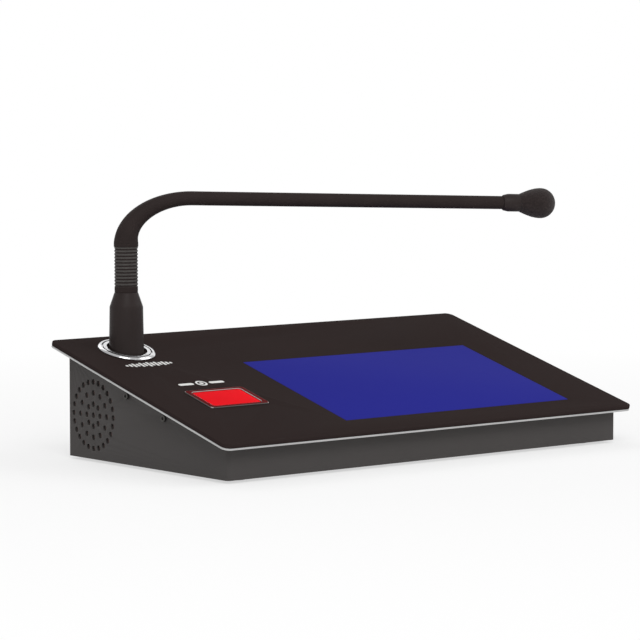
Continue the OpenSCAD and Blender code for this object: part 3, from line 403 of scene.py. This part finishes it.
def make_display():
    """Lit blue display under glass: an even glow with a fine pixel grid."""
    finish = Finish("display_blue", scaled(DISPLAY_BLUE, UNLIT_SHARE), 0.4, 0.001)
    grid = finish.add("ShaderNodeTexWave", wave_type="BANDS", bands_direction="X")
    grid.inputs["Scale"].default_value = WAVE_PERIOD / PIXEL_PITCH
    finish.link(finish.place, grid.inputs["Vector"])
    glow = finish.span(finish.noise(GLOW_SIZE, 1.0), *NOISE_RANGE, 0, 1)
    even = finish.mix(glow, scaled(DISPLAY_BLUE, 1 - GLOW_CHANGE), scaled(DISPLAY_BLUE, 1 + GLOW_CHANGE))
    fine = finish.mix(finish.span(grid.outputs["Fac"], 0, 1, 0, GRID_SHARE), even, GRID_BLUE)
    finish.link(fine, finish.shader.inputs["Emission Color"])
    finish.set("Emission Strength", GLOW_STRENGTH)
    return finish.grain(finish.noise(0.5 * MM), 0.002 * MM, 0.1)


def make_materials():
    """Every material by its look."""
    made = {"display": make_display(), "foam": make_foam()}
    made.update(make_coatings())
    made.update(make_soft_looks())
    made.update({look: moulded(*row) for look, row in PLASTICS.items()})
    made.update({look: plated(*row) for look, row in METALS.items()})
    return {look: finish.material for look, finish in made.items()}


LOOK = make_materials()


# Mesh helpers
SHARP_ANGLE = math.radians(32)
FLAT_ANGLE = math.radians(0.3)
WELD_DISTANCE = 0.001 * MM
ROUND_PROFILE = 0.5


def new_object(name, mesh, *looks):
    """An object in the scene with its materials."""
    mesh.materials.clear()
    for look in looks:
        mesh.materials.append(LOOK[look])
    piece = bpy.data.objects.new(name, mesh)
    bpy.context.scene.collection.objects.link(piece)
    return piece


def smooth(mesh):
    """Smooth shading with sharp edges kept."""
    for face in mesh.polygons:
        face.use_smooth = True
    mesh.set_sharp_from_angle(angle=SHARP_ANGLE)


def mesh_from(name, bm):
    """A mesh from a bmesh, with its normals outward."""
    bmesh.ops.recalc_face_normals(bm, faces=bm.faces)
    mesh = bpy.data.meshes.new(name)
    bm.to_mesh(mesh)
    bm.free()
    smooth(mesh)
    return mesh


def dressed(node, name, body, look, width, segments=3):
    """A copy of a CAD node's shape with its edges rounded, which stands for that node."""
    bm = bmesh.new()
    bm.from_mesh(NODES[node].data)
    bmesh.ops.remove_doubles(bm, verts=bm.verts, dist=WELD_DISTANCE)
    bmesh.ops.dissolve_limit(bm, angle_limit=FLAT_ANGLE, verts=bm.verts, edges=bm.edges)
    joined = [edge for edge in bm.edges if len(edge.link_faces) == 2]
    sharp = [edge for edge in joined if edge.calc_face_angle(0) > SHARP_ANGLE]
    bmesh.ops.bevel(bm, geom=sharp, offset=width, offset_type="OFFSET", segments=segments,
                    profile=ROUND_PROFILE, affect="EDGES", clamp_overlap=True)
    piece = new_object(name, mesh_from(name, bm), look)
    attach(piece, body)
    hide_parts(node)
    return piece


def rings_mesh(name, rings, closed=False):
    """A skin over rings of points, one after another, that closes on itself or is capped at its ends."""
    bm = bmesh.new()
    rows = [[bm.verts.new(point) for point in ring] for ring in rings]
    count = len(rows[0])
    pairs = list(zip(rows, rows[1:])) + ([(rows[-1], rows[0])] if closed else [])
    for low, high in pairs:
        for i in range(count):
            j = (i + 1) % count
            bm.faces.new((low[i], low[j], high[j], high[i]))
    if not closed:
        bm.faces.new(list(reversed(rows[0])))
        bm.faces.new(rows[-1])
    return mesh_from(name, bm)


def circle_ring(centre, radius, first, second, count):
    """Points of a circle about a centre, in the plane of two unit vectors."""
    steps = [2 * math.pi * i / count for i in range(count)]
    return [centre + radius * (math.cos(a) * first + math.sin(a) * second) for a in steps]


def turned(name, origin, axis, first, profile, count, closed=False):
    """A turned shape: profile is a list of (radius, place along the axis)."""
    second = axis.cross(first)
    rings = [circle_ring(origin + axis * place, radius, first, second, count) for radius, place in profile]
    return rings_mesh(name, rings, closed)


# Neck places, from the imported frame
BOOT_LOW, BOOT_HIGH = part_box("neck_boot")
BAND_LOW, BAND_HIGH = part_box("neck_band")
NECK_X = (BOOT_LOW.x + BOOT_HIGH.x) / 2
NECK_Y = (BOOT_LOW.y + BOOT_HIGH.y) / 2
UP = Vector((0, 0, 1))
TILT_AXIS = Vector(JOINTS["neck_tilt"]["axis"]).normalized()
ARM_FLAT = UP.cross(TILT_AXIS)


def on_neck(z):
    """Point on the upright neck axis."""
    return Vector((NECK_X, NECK_Y, z))


def paint(piece, rule):
    """Gives each face the material slot that the rule works out from its middle and normal."""
    for face in piece.data.polygons:
        face.material_index = rule(face.center, face.normal)


def add_looks(piece, *looks):
    """More material slots on a piece."""
    for look in looks:
        piece.data.materials.append(LOOK[look])


# Rounded pieces of the console: node, piece, slot, look, edge width in millimetres and steps around it
CASE_PIECES = (
    ("case_shell", "steel_case", "case_paint", "case", 0.45, 3),
    ("panel_plate", "aluminium_plate", "plate_aluminium", "plate", 0.12, 2),
    ("panel_overlay", "black_overlay", "overlay_black", "overlay", 0.35, 3),
    ("rubber_feet", "soft_feet", "foot_rubber", "rubber", 0.3, 2),
    ("side_screws", "side_wall_screws", "screw_steel", "screw", 0.25, 3),
    ("rear_panel", "socket_panel", "rear_black", "rear", 0.2, 2),
    ("rear_screws", "socket_panel_screws", "screw_steel", "screw", 0.25, 3),
    ("network_jack", "network_socket", "jack_plastic", "jack", 0.15, 2),
    ("power_jack", "power_socket", "jack_plastic", "jack", 0.2, 2),
    ("touch_glass", "display_face", "display_glass", "display", 0.2, 2),
)


def make_case():
    """Steel case, panel plate and overlay, feet, screws, sockets and display."""
    for node, name, slot, look, width, segments in CASE_PIECES:
        dressed(node, name, "console", look, width * MM, segments)


CAP_EDGE = 0.6 * MM
CAP_EDGE_STEPS = 4
FRAME_EDGE = 0.22 * MM
# A face of the frame looks up the slope, or straight out of the panel, from these shares on
UP_SLOPE_SHARE = 0.2
OUT_SHARE = 0.97


def make_button():
    """Red cap in its frame, whose walls carry painted highlights: grey on the outer walls and on walls
    turned up the slope, pale on the other inner walls.
    """
    frame_piece = dressed("button_bezel", "button_frame", "console", "bezel", FRAME_EDGE)
    add_looks(frame_piece, "frame_dim_painted_highlight", "frame_pale_painted_highlight")
    points = node_points("button_bezel")
    x, y = panel_place("button_bezel")
    half_w = spread(points, ACROSS)[1] - x - FRAME_EDGE
    half_l = spread(points, UP_SLOPE)[1] - PANEL_MIDDLE - y - FRAME_EDGE

    # Slot 1 is the grey painted highlight on outer walls and walls turned up the slope, slot 2 the pale
    # painted highlight on the other inner walls, slot 0 the frame's own dark red
    def edges(centre, normal):
        across = abs(centre.dot(ACROSS) - x)
        along = centre.dot(UP_SLOPE) - PANEL_MIDDLE - y
        if centre.dot(OUT) < PANEL_TOP:
            return 0
        if across > half_w or abs(along) > half_l or normal.dot(UP_SLOPE) > UP_SLOPE_SHARE:
            return 1
        return 2 if normal.dot(OUT) < OUT_SHARE else 0

    paint(frame_piece, edges)
    dressed("button_cap", "emergency_cap", "emergency_button", "cap", CAP_EDGE, CAP_EDGE_STEPS)


SPRING_TURNS = 5
SPRING_TURN_STEPS = 24
SPRING_SIDES = 10
SPRING_WIRE_R = 0.35 * MM


def make_spring():
    """Return spring of the button: a coil of round wire about the plunger, under the cap."""
    points = node_points("button_spring")
    x, y = panel_place("button_plunger")
    bottom, top = spread(points, OUT)
    radius = spread(points, ACROSS)[1] - x - SPRING_WIRE_R
    steps = SPRING_TURNS * SPRING_TURN_STEPS
    rise = top - bottom - 2 * SPRING_WIRE_R
    rings = []
    for i in range(steps + 1):
        angle = 2 * math.pi * i / SPRING_TURN_STEPS
        outward = math.cos(angle) * ACROSS + math.sin(angle) * UP_SLOPE
        height = bottom + SPRING_WIRE_R + rise * i / steps - PANEL_TOP
        along = OUT * rise / (2 * math.pi * SPRING_TURNS) + OUT.cross(outward) * radius
        across_wire = along.normalized().cross(outward)
        centre = on_panel(x, y, height) + outward * radius
        rings.append(circle_ring(centre, SPRING_WIRE_R, outward, across_wire, SPRING_SIDES))
    piece = new_object("return_spring", rings_mesh("return_spring", rings), "steel")
    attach(piece, "console")
    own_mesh(piece)
    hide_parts("button_spring")


RING_GROOVE = (12.4 * MM, 13.2 * MM)
GROOVE_EDGE = 0.15 * MM
RING_EDGE = 0.1 * MM


def make_ring():
    """Chrome double ring with near black painted shade in the groove between its bands."""
    piece = dressed("socket_ring", "chrome_ring", "console", "chrome", RING_EDGE, 2)
    add_looks(piece, "groove")
    x, y = panel_place("socket_ring")
    height = spread(node_points("socket_ring"), OUT)[1] - GROOVE_EDGE

    # Faces in the groove below the ring's top take slot 1, the painted shade
    def groove(centre, normal):
        flat = centre - on_panel(x, y)
        flat -= OUT * flat.dot(OUT)
        inside = RING_GROOVE[0] - GROOVE_EDGE < flat.length < RING_GROOVE[1] + GROOVE_EDGE
        return 1 if inside and centre.dot(OUT) < height else 0

    paint(piece, groove)


RIB_COUNT = 12
RIB_PITCH = 1.7 * MM
RIB_R = 6.0 * MM
RIB_DEPTH = 0.3 * MM
BOOT_BORE_R = 2.8 * MM
RIB_START = BOOT_HIGH.z - RIB_COUNT * RIB_PITCH
BOOT_SIDES = 96
# Chamfer at the boot's foot, across and up, and the part of a rib's height that counts as its crest, which
# carries the painted highlight
FOOT_CHAMFER = (RIB_DEPTH / 3, RIB_DEPTH / 2)
CREST_HEIGHT = RIB_DEPTH / 4
SPINE_STEPS = 60
SPINE_GROOVE = 0.15 * MM
SPINE_SIDES = 32
# One rib along its pitch, as shares of the pitch and of the groove's depth
RIB_SHAPE = ((0.0, 0.0), (0.06, 0.45), (0.125, 1.0), (0.375, 1.0), (0.44, 0.45), (0.5, 0.0), (0.56, -0.12),
             (0.94, -0.12))


def bend_boot(piece):
    """Bakes the place of a piece between the plug and the neck into its mesh."""
    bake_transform(piece)


def make_boot():
    """Ribbed boot with a painted highlight on its rib crests."""
    foot_r = RIB_R - FOOT_CHAMFER[0]
    foot_top = BOOT_LOW.z + FOOT_CHAMFER[1]
    profile = [(BOOT_BORE_R, BOOT_LOW.z), (foot_r, BOOT_LOW.z), (RIB_R, foot_top)]
    for i in range(RIB_COUNT):
        foot = RIB_START + i * RIB_PITCH
        profile += [(RIB_R - RIB_DEPTH * deep, foot + RIB_PITCH * share) for share, deep in RIB_SHAPE]
    profile += [(RIB_R, BOOT_HIGH.z), (BOOT_BORE_R, BOOT_HIGH.z)]
    mesh = turned("ribbed_boot", on_neck(0), UP, ACROSS, profile, BOOT_SIDES, closed=True)
    piece = new_object("ribbed_boot", mesh, "sheath", "crest")
    crest_r = RIB_R - CREST_HEIGHT

    # Faces on the rib crests take slot 1, the painted highlight
    def crest(centre, normal):
        off_axis = math.hypot(centre.x - NECK_X, centre.y - NECK_Y)
        return 1 if off_axis > crest_r and centre.z > RIB_START else 0

    paint(piece, crest)
    bend_boot(piece)
    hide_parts("neck_boot")


def make_spine():
    """Flexible spine inside the boot, with a groove between its turns."""
    low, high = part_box("neck_spine")
    radius = (high.x - low.x) / 2
    places = [low.z + (high.z - low.z) * i / SPINE_STEPS for i in range(SPINE_STEPS + 1)]
    profile = [(radius - SPINE_GROOVE * (i % 2), place) for i, place in enumerate(places)]
    mesh = turned("wound_spine", on_neck(0), UP, ACROSS, profile, SPINE_SIDES)
    spine = new_object("wound_spine", mesh, "steel")
    bend_boot(spine)
    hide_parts("neck_spine")


ELBOW_REACH = 33.5 * MM
ELBOW_RISE = 22.5 * MM
ARM_FALL = math.radians(1.3)
ARM_R = 3.65 * MM
# Height above its foot at which the elbow has turned as far as the arm
ELBOW_STEPS = 56
ELBOW_SIDES = 48
ARM_ALONG = ARM_FLAT * math.cos(ARM_FALL) - UP * math.sin(ARM_FALL)
ARM_SIDE = UP.cross(ARM_FLAT)


def make_elbow():
    """Smooth elbow of the neck, which curves from the neck ring into the arm."""
    last = math.pi / 2 + math.atan(math.tan(ARM_FALL) * ELBOW_REACH / ELBOW_RISE)
    foot_r = (BAND_HIGH.x - BAND_LOW.x) / 2
    base = on_neck(BAND_HIGH.z)
    rings = []
    for i in range(ELBOW_STEPS + 1):
        angle = last * i / ELBOW_STEPS
        out = ARM_FLAT * ELBOW_REACH * (1 - math.cos(angle))
        centre = base + out + UP * ELBOW_RISE * math.sin(angle)
        along = ARM_FLAT * ELBOW_REACH * math.sin(angle) + UP * ELBOW_RISE * math.cos(angle)
        over = along.normalized().cross(ARM_SIDE)
        radius = foot_r + (ARM_R - foot_r) * math.sin(math.pi / 2 * i / ELBOW_STEPS)
        rings.append(circle_ring(centre, radius, ARM_SIDE, over, ELBOW_SIDES))
    piece = new_object("bent_neck", rings_mesh("bent_neck", rings), "sheath")
    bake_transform(piece)
    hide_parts("neck_elbow")


SCREEN_BELLY = 11.2 * MM
SCREEN_BACK_R = 4.85 * MM
SCREEN_TIP_R = 0.05 * MM
CAPSULE_GAP = 0.05 * MM
# Steps along the flank, and as many over the nose
SCREEN_STEPS = 36
SCREEN_SIDES = 96
FOAM_GRAIN = 0.7 * MM
FOAM_RELIEF = 0.09 * MM
# A second, finer relief: how many times finer, and its share
FINE_RELIEF = (2.3, 0.5)
# The relief keeps this far from the foam's back end and from its bore
PLAIN_BACK = 1 * MM
PLAIN_BORE = 0.5 * MM


def make_windscreen():
    """Foam windscreen: a pear shape with a bore for the capsule and an open-cell skin."""
    points = node_points("windscreen")
    capsule = node_points("mic_capsule")
    back, front = spread(points, ARM_ALONG)
    above = ARM_ALONG.cross(ARM_SIDE)
    axis_point = ARM_SIDE * middle(capsule, ARM_SIDE) + above * middle(capsule, above)
    length = front - back
    side_low, side_high = spread(points, ARM_SIDE)
    belly_r = (side_high - side_low) / 2 - FOAM_RELIEF
    capsule_low, capsule_high = spread(capsule, ARM_SIDE)
    bore_r = (capsule_high - capsule_low) / 2 + CAPSULE_GAP
    bore_end = spread(capsule, ARM_ALONG)[1] + CAPSULE_GAP

    def skin_r(place):
        if place < SCREEN_BELLY:
            swell = math.sin(math.pi / 2 * place / SCREEN_BELLY)
            return SCREEN_BACK_R + (belly_r - SCREEN_BACK_R) * swell
        share = (place - SCREEN_BELLY) / (length - SCREEN_BELLY)
        return belly_r * math.sqrt(max(0.0, 1 - share * share))

    # Even steps of angle over the nose, so that its rings don't crowd or gape
    flank = [SCREEN_BELLY * i / SCREEN_STEPS for i in range(SCREEN_STEPS)]
    nose_l = length - FOAM_RELIEF - SCREEN_BELLY
    turns = [math.pi / 2 * i / SCREEN_STEPS for i in range(SCREEN_STEPS + 1)]
    nose = [SCREEN_BELLY + nose_l * math.sin(turn) for turn in turns]
    skin = [(max(skin_r(place), SCREEN_TIP_R), back + place) for place in flank + nose]
    profile = [(SCREEN_TIP_R, bore_end), (bore_r, bore_end), (bore_r, back)] + skin
    mesh = turned("foam_windscreen", axis_point, ARM_ALONG, ARM_SIDE, profile, SCREEN_SIDES)
    for vertex in mesh.vertices:
        off = vertex.co - axis_point
        place = off.dot(ARM_ALONG) - back
        outward = off - ARM_ALONG * off.dot(ARM_ALONG)
        if place > PLAIN_BACK and outward.length > bore_r + PLAIN_BORE:
            grain = vertex.co / FOAM_GRAIN
            lift = noise.noise(grain) + FINE_RELIEF[1] * noise.noise(grain * FINE_RELIEF[0])
            vertex.co += outward.normalized() * FOAM_RELIEF * max(-1.0, min(1.0, lift))
    piece = new_object("foam_windscreen", mesh, "foam")
    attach(piece, "arm")
    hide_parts("windscreen")


# Rounded pieces of the microphone: node, piece, body, slot, look, edge width in millimetres and steps
NECK_PIECES = (
    ("plug_sleeve", "plug_barrel", "mic_plug", "sleeve_black", "sleeve", 0.5, 3),
    ("neck_band", "neck_ring", "neck", "neck_sheath", "sheath", 0.15, 2),
    ("head_collar", "head_ring", "arm", "sleeve_black", "sleeve", 0.2, 2),
)


def make_microphone():
    """Plug barrel, neck ring and collar, then the bent and soft pieces of the microphone."""
    for node, name, body, slot, look, width, segments in NECK_PIECES:
        dressed(node, name, body, look, width * MM, segments)
    make_boot()
    make_spine()
    make_elbow()
    make_windscreen()


INK = 0.04 * MM
BAR_WIDTH = 1.5 * MM
BAR_PITCH = 2.3 * MM
# Heights of a voice wave's bars, in millimetres
WAVE_BARS = (2.0, 3.4, 5.0, 3.6, 5.6, 4.2, 6.2, 4.2, 5.6, 3.6, 5.0, 3.4, 2.0)
WAVE_DROP = 20.0 * MM
SIDE_BAR = (9.5 * MM, 2.6 * MM)
DOT_R = 1.2 * MM
LOOP_R = 2.7 * MM
LOOP_WIDTH = 1.1 * MM
LOOP_STEPS = 40
MARK_GAP = 2 * LOOP_WIDTH
PUSH_MARK_RISE = 21.5 * MM
# Corners of a rounded bar: side of its middle in x and y, and the arc's first angle
BAR_CORNERS = ((1, 1, 0), (-1, 1, 90), (-1, -1, 180), (1, -1, 270))
BAR_ARC = range(0, 91, 15)


def print_shape(bm, outline):
    """A thin solid of ink on the panel, from an outline in the panel's x and y."""
    low = [bm.verts.new(on_panel(x, y)) for x, y in outline]
    top = [bm.verts.new(on_panel(x, y, INK)) for x, y in outline]
    count = len(outline)
    bm.faces.new(list(reversed(low)))
    bm.faces.new(top)
    for i in range(count):
        j = (i + 1) % count
        bm.faces.new((low[i], low[j], top[j], top[i]))


def bar(x, y, width, height):
    """Outline of a bar with its ends rounded off."""
    r = min(width, height) / 2
    outline = []
    for side_x, side_y, first in BAR_CORNERS:
        corner_x = x + side_x * (width / 2 - r)
        corner_y = y + side_y * (height / 2 - r)
        for angle in (math.radians(first + step) for step in BAR_ARC):
            outline.append((corner_x + r * math.cos(angle), corner_y + r * math.sin(angle)))
    return outline


def print_loop(bm, x, y, radius, width):
    """A printed ring."""
    steps = [2 * math.pi * i / LOOP_STEPS for i in range(LOOP_STEPS)]
    edge = []
    for r in (radius - width / 2, radius + width / 2):
        outline = [(x + r * math.cos(a), y + r * math.sin(a)) for a in steps]
        for height in (0, INK):
            edge.append([bm.verts.new(on_panel(px, py, height)) for px, py in outline])
    for first, second in ((0, 1), (1, 3), (3, 2), (2, 0)):
        for i in range(LOOP_STEPS):
            j = (i + 1) % LOOP_STEPS
            bm.faces.new((edge[first][i], edge[first][j], edge[second][j], edge[second][i]))


def finish_print(name, bm):
    """A printed mark that rides on the console."""
    piece = new_object(name, mesh_from(name, bm), "print")
    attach(piece, "console")


def make_prints():
    """Plain white marks: a voice wave by the microphone, and a push mark by the button."""
    x, y = panel_place("socket_ring")
    wave = bmesh.new()
    first = x - BAR_PITCH * (len(WAVE_BARS) - 1) / 2
    for i, height in enumerate(WAVE_BARS):
        print_shape(wave, bar(first + i * BAR_PITCH, y - WAVE_DROP, BAR_WIDTH, height * MM))
    finish_print("wave_mark", wave)

    x, y = panel_place("button_bezel")
    push = bmesh.new()
    y += PUSH_MARK_RISE
    away = LOOP_R + SIDE_BAR[0] / 2 + MARK_GAP
    for side in (-1, 1):
        print_shape(push, bar(x + side * away, y, *SIDE_BAR))
    print_loop(push, x, y, LOOP_R, LOOP_WIDTH)
    print_shape(push, bar(x, y, 2 * DOT_R, 2 * DOT_R))
    finish_print("push_mark", push)


# CAD pieces that show as they are, by look
PLAIN_PIECES = {
    "steel": ("left_bracket", "right_bracket", "lcd_clamps", "clamp_nuts", "speaker_frame",
              "board_screws", "plunger_clip", "power_pin"),
    "inner": ("button_plunger", "contact_block", "button_retainer", "mic_socket", "plug_insert",
              "board_parts"),
    "brass": ("socket_contacts", "plug_pins", "jack_contacts", "board_standoffs"),
    "lead": ("button_lead", "mic_lead", "speaker_lead"),
    "sheath": ("neck_arm",),
    "cloth": ("grille_cloth",),
    "paper": ("speaker_cone",),
    "rubber": ("speaker_gasket",),
    "magnet": ("speaker_magnet",),
    "board": ("main_board",),
    "film": ("display_ribbon",),
    "module": ("lcd_module",),
    "lamp": ("button_lamps",),
    "capsule": ("mic_capsule",),
}


def paint_rest():
    """Materials of the CAD pieces that show as they are."""
    for look, nodes in PLAIN_PIECES.items():
        for node in nodes:
            mesh = NODES[node].data
            mesh.materials.clear()
            mesh.materials.append(LOOK[look])


# Studio, in metres: the floor's width and ends, the backdrop's height and the curve between them
STAGE_WIDTH = 6.0
STAGE_NEAR = -4.0
STAGE_FAR = 3.0
STAGE_RISE = 3.0
STAGE_CURVE = 1.0
STAGE_CURVE_STEPS = 16


def make_stage():
    """Pale floor that curves up into a backdrop."""
    turns = [math.pi / 2 * i / STAGE_CURVE_STEPS for i in range(STAGE_CURVE_STEPS + 1)]
    arc = [(STAGE_FAR + STAGE_CURVE * math.sin(a), STAGE_CURVE * (1 - math.cos(a))) for a in turns]
    line = [(STAGE_NEAR, 0.0)] + arc + [(STAGE_FAR + STAGE_CURVE, STAGE_RISE)]
    bm = bmesh.new()
    rows = [[bm.verts.new((side * STAGE_WIDTH / 2, y, z)) for side in (-1, 1)] for y, z in line]
    for low, high in zip(rows, rows[1:]):
        bm.faces.new((low[0], low[1], high[1], high[0]))
    mesh = bpy.data.meshes.new("stage")
    bm.to_mesh(mesh)
    bm.free()
    for face in mesh.polygons:
        face.use_smooth = True
    stage = bpy.data.objects.new("stage", mesh)
    bpy.context.scene.collection.objects.link(stage)
    stage.rotation_euler = (0, 0, VIEW_AZIMUTH)
    stage.data.materials.append(stage_material())


# Distances from the object, in metres, between which the floor's glow takes over, and its share at each
SHADOW_FADE = (0.18, 0.6, 0.6, 1.0)
FLOOR_GREY = (0.9, 0.9, 0.9, 1)


def stage_material():
    """White floor and backdrop that keep the object's shadow."""
    material = bpy.data.materials.new("stage_white")
    material.use_nodes = True
    tree = material.node_tree
    tree.nodes.clear()
    output = tree.nodes.new("ShaderNodeOutputMaterial")
    diffuse = tree.nodes.new("ShaderNodeBsdfDiffuse")
    diffuse.inputs["Color"].default_value = FLOOR_GREY
    glow = tree.nodes.new("ShaderNodeEmission")
    glow.inputs["Strength"].default_value = 1.0
    mix = tree.nodes.new("ShaderNodeMixShader")
    path = tree.nodes.new("ShaderNodeLightPath")
    seen = tree.nodes.new("ShaderNodeMath")
    seen.operation = "MAXIMUM"
    place = tree.nodes.new("ShaderNodeNewGeometry")
    away = tree.nodes.new("ShaderNodeVectorMath")
    away.operation = "LENGTH"
    fade = tree.nodes.new("ShaderNodeMapRange")
    for socket, number in zip(MAP_SOCKETS, SHADOW_FADE):
        fade.inputs[socket].default_value = number
    share = tree.nodes.new("ShaderNodeMath")
    share.operation = "MULTIPLY"
    links = (
        (place.outputs["Position"], away.inputs[0]),
        (away.outputs["Value"], fade.inputs["Value"]),
        (path.outputs["Is Camera Ray"], seen.inputs[0]),
        (path.outputs["Is Glossy Ray"], seen.inputs[1]),
        (seen.outputs["Value"], share.inputs[0]),
        (fade.outputs["Result"], share.inputs[1]),
        (share.outputs["Value"], mix.inputs["Fac"]),
        (diffuse.outputs["BSDF"], mix.inputs[1]),
        (glow.outputs["Emission"], mix.inputs[2]),
        (mix.outputs["Shader"], output.inputs["Surface"]),
    )
    for source, target in links:
        tree.links.new(source, target)
    return material


# Lamps: name, place, diameter and power in watts
LAMPS = (
    ("key", (-0.9, -1.3, 1.5), 1.2, 16),
    ("fill", (1.4, -0.9, 1.1), 1.4, 9),
    ("back", (0.2, 1.5, 1.4), 1.2, 7),
)
LAMP_AIM = Vector((0, 0, 0.05))
SURROUND_STRENGTH = 0.55


def make_lights():
    """Large soft lamps around the object, and an even white surround."""
    for name, place, size, power in LAMPS:
        data = bpy.data.lights.new(name, "AREA")
        data.shape = "DISK"
        data.size = size
        data.energy = power
        lamp = bpy.data.objects.new(name, data)
        lamp.location = place
        lamp.rotation_euler = (LAMP_AIM - Vector(place)).to_track_quat("-Z", "Y").to_euler()
        bpy.context.scene.collection.objects.link(lamp)
    world = bpy.data.worlds.new("surround")
    world.use_nodes = True
    background = world.node_tree.nodes["Background"]
    background.inputs["Color"].default_value = (1, 1, 1, 1)
    background.inputs["Strength"].default_value = SURROUND_STRENGTH
    bpy.context.scene.world = world


make_case()
make_button()
make_spring()
make_ring()
make_microphone()
make_prints()
paint_rest()
make_stage()
make_lights()
bpy.context.scene.view_settings.view_transform = "Standard"
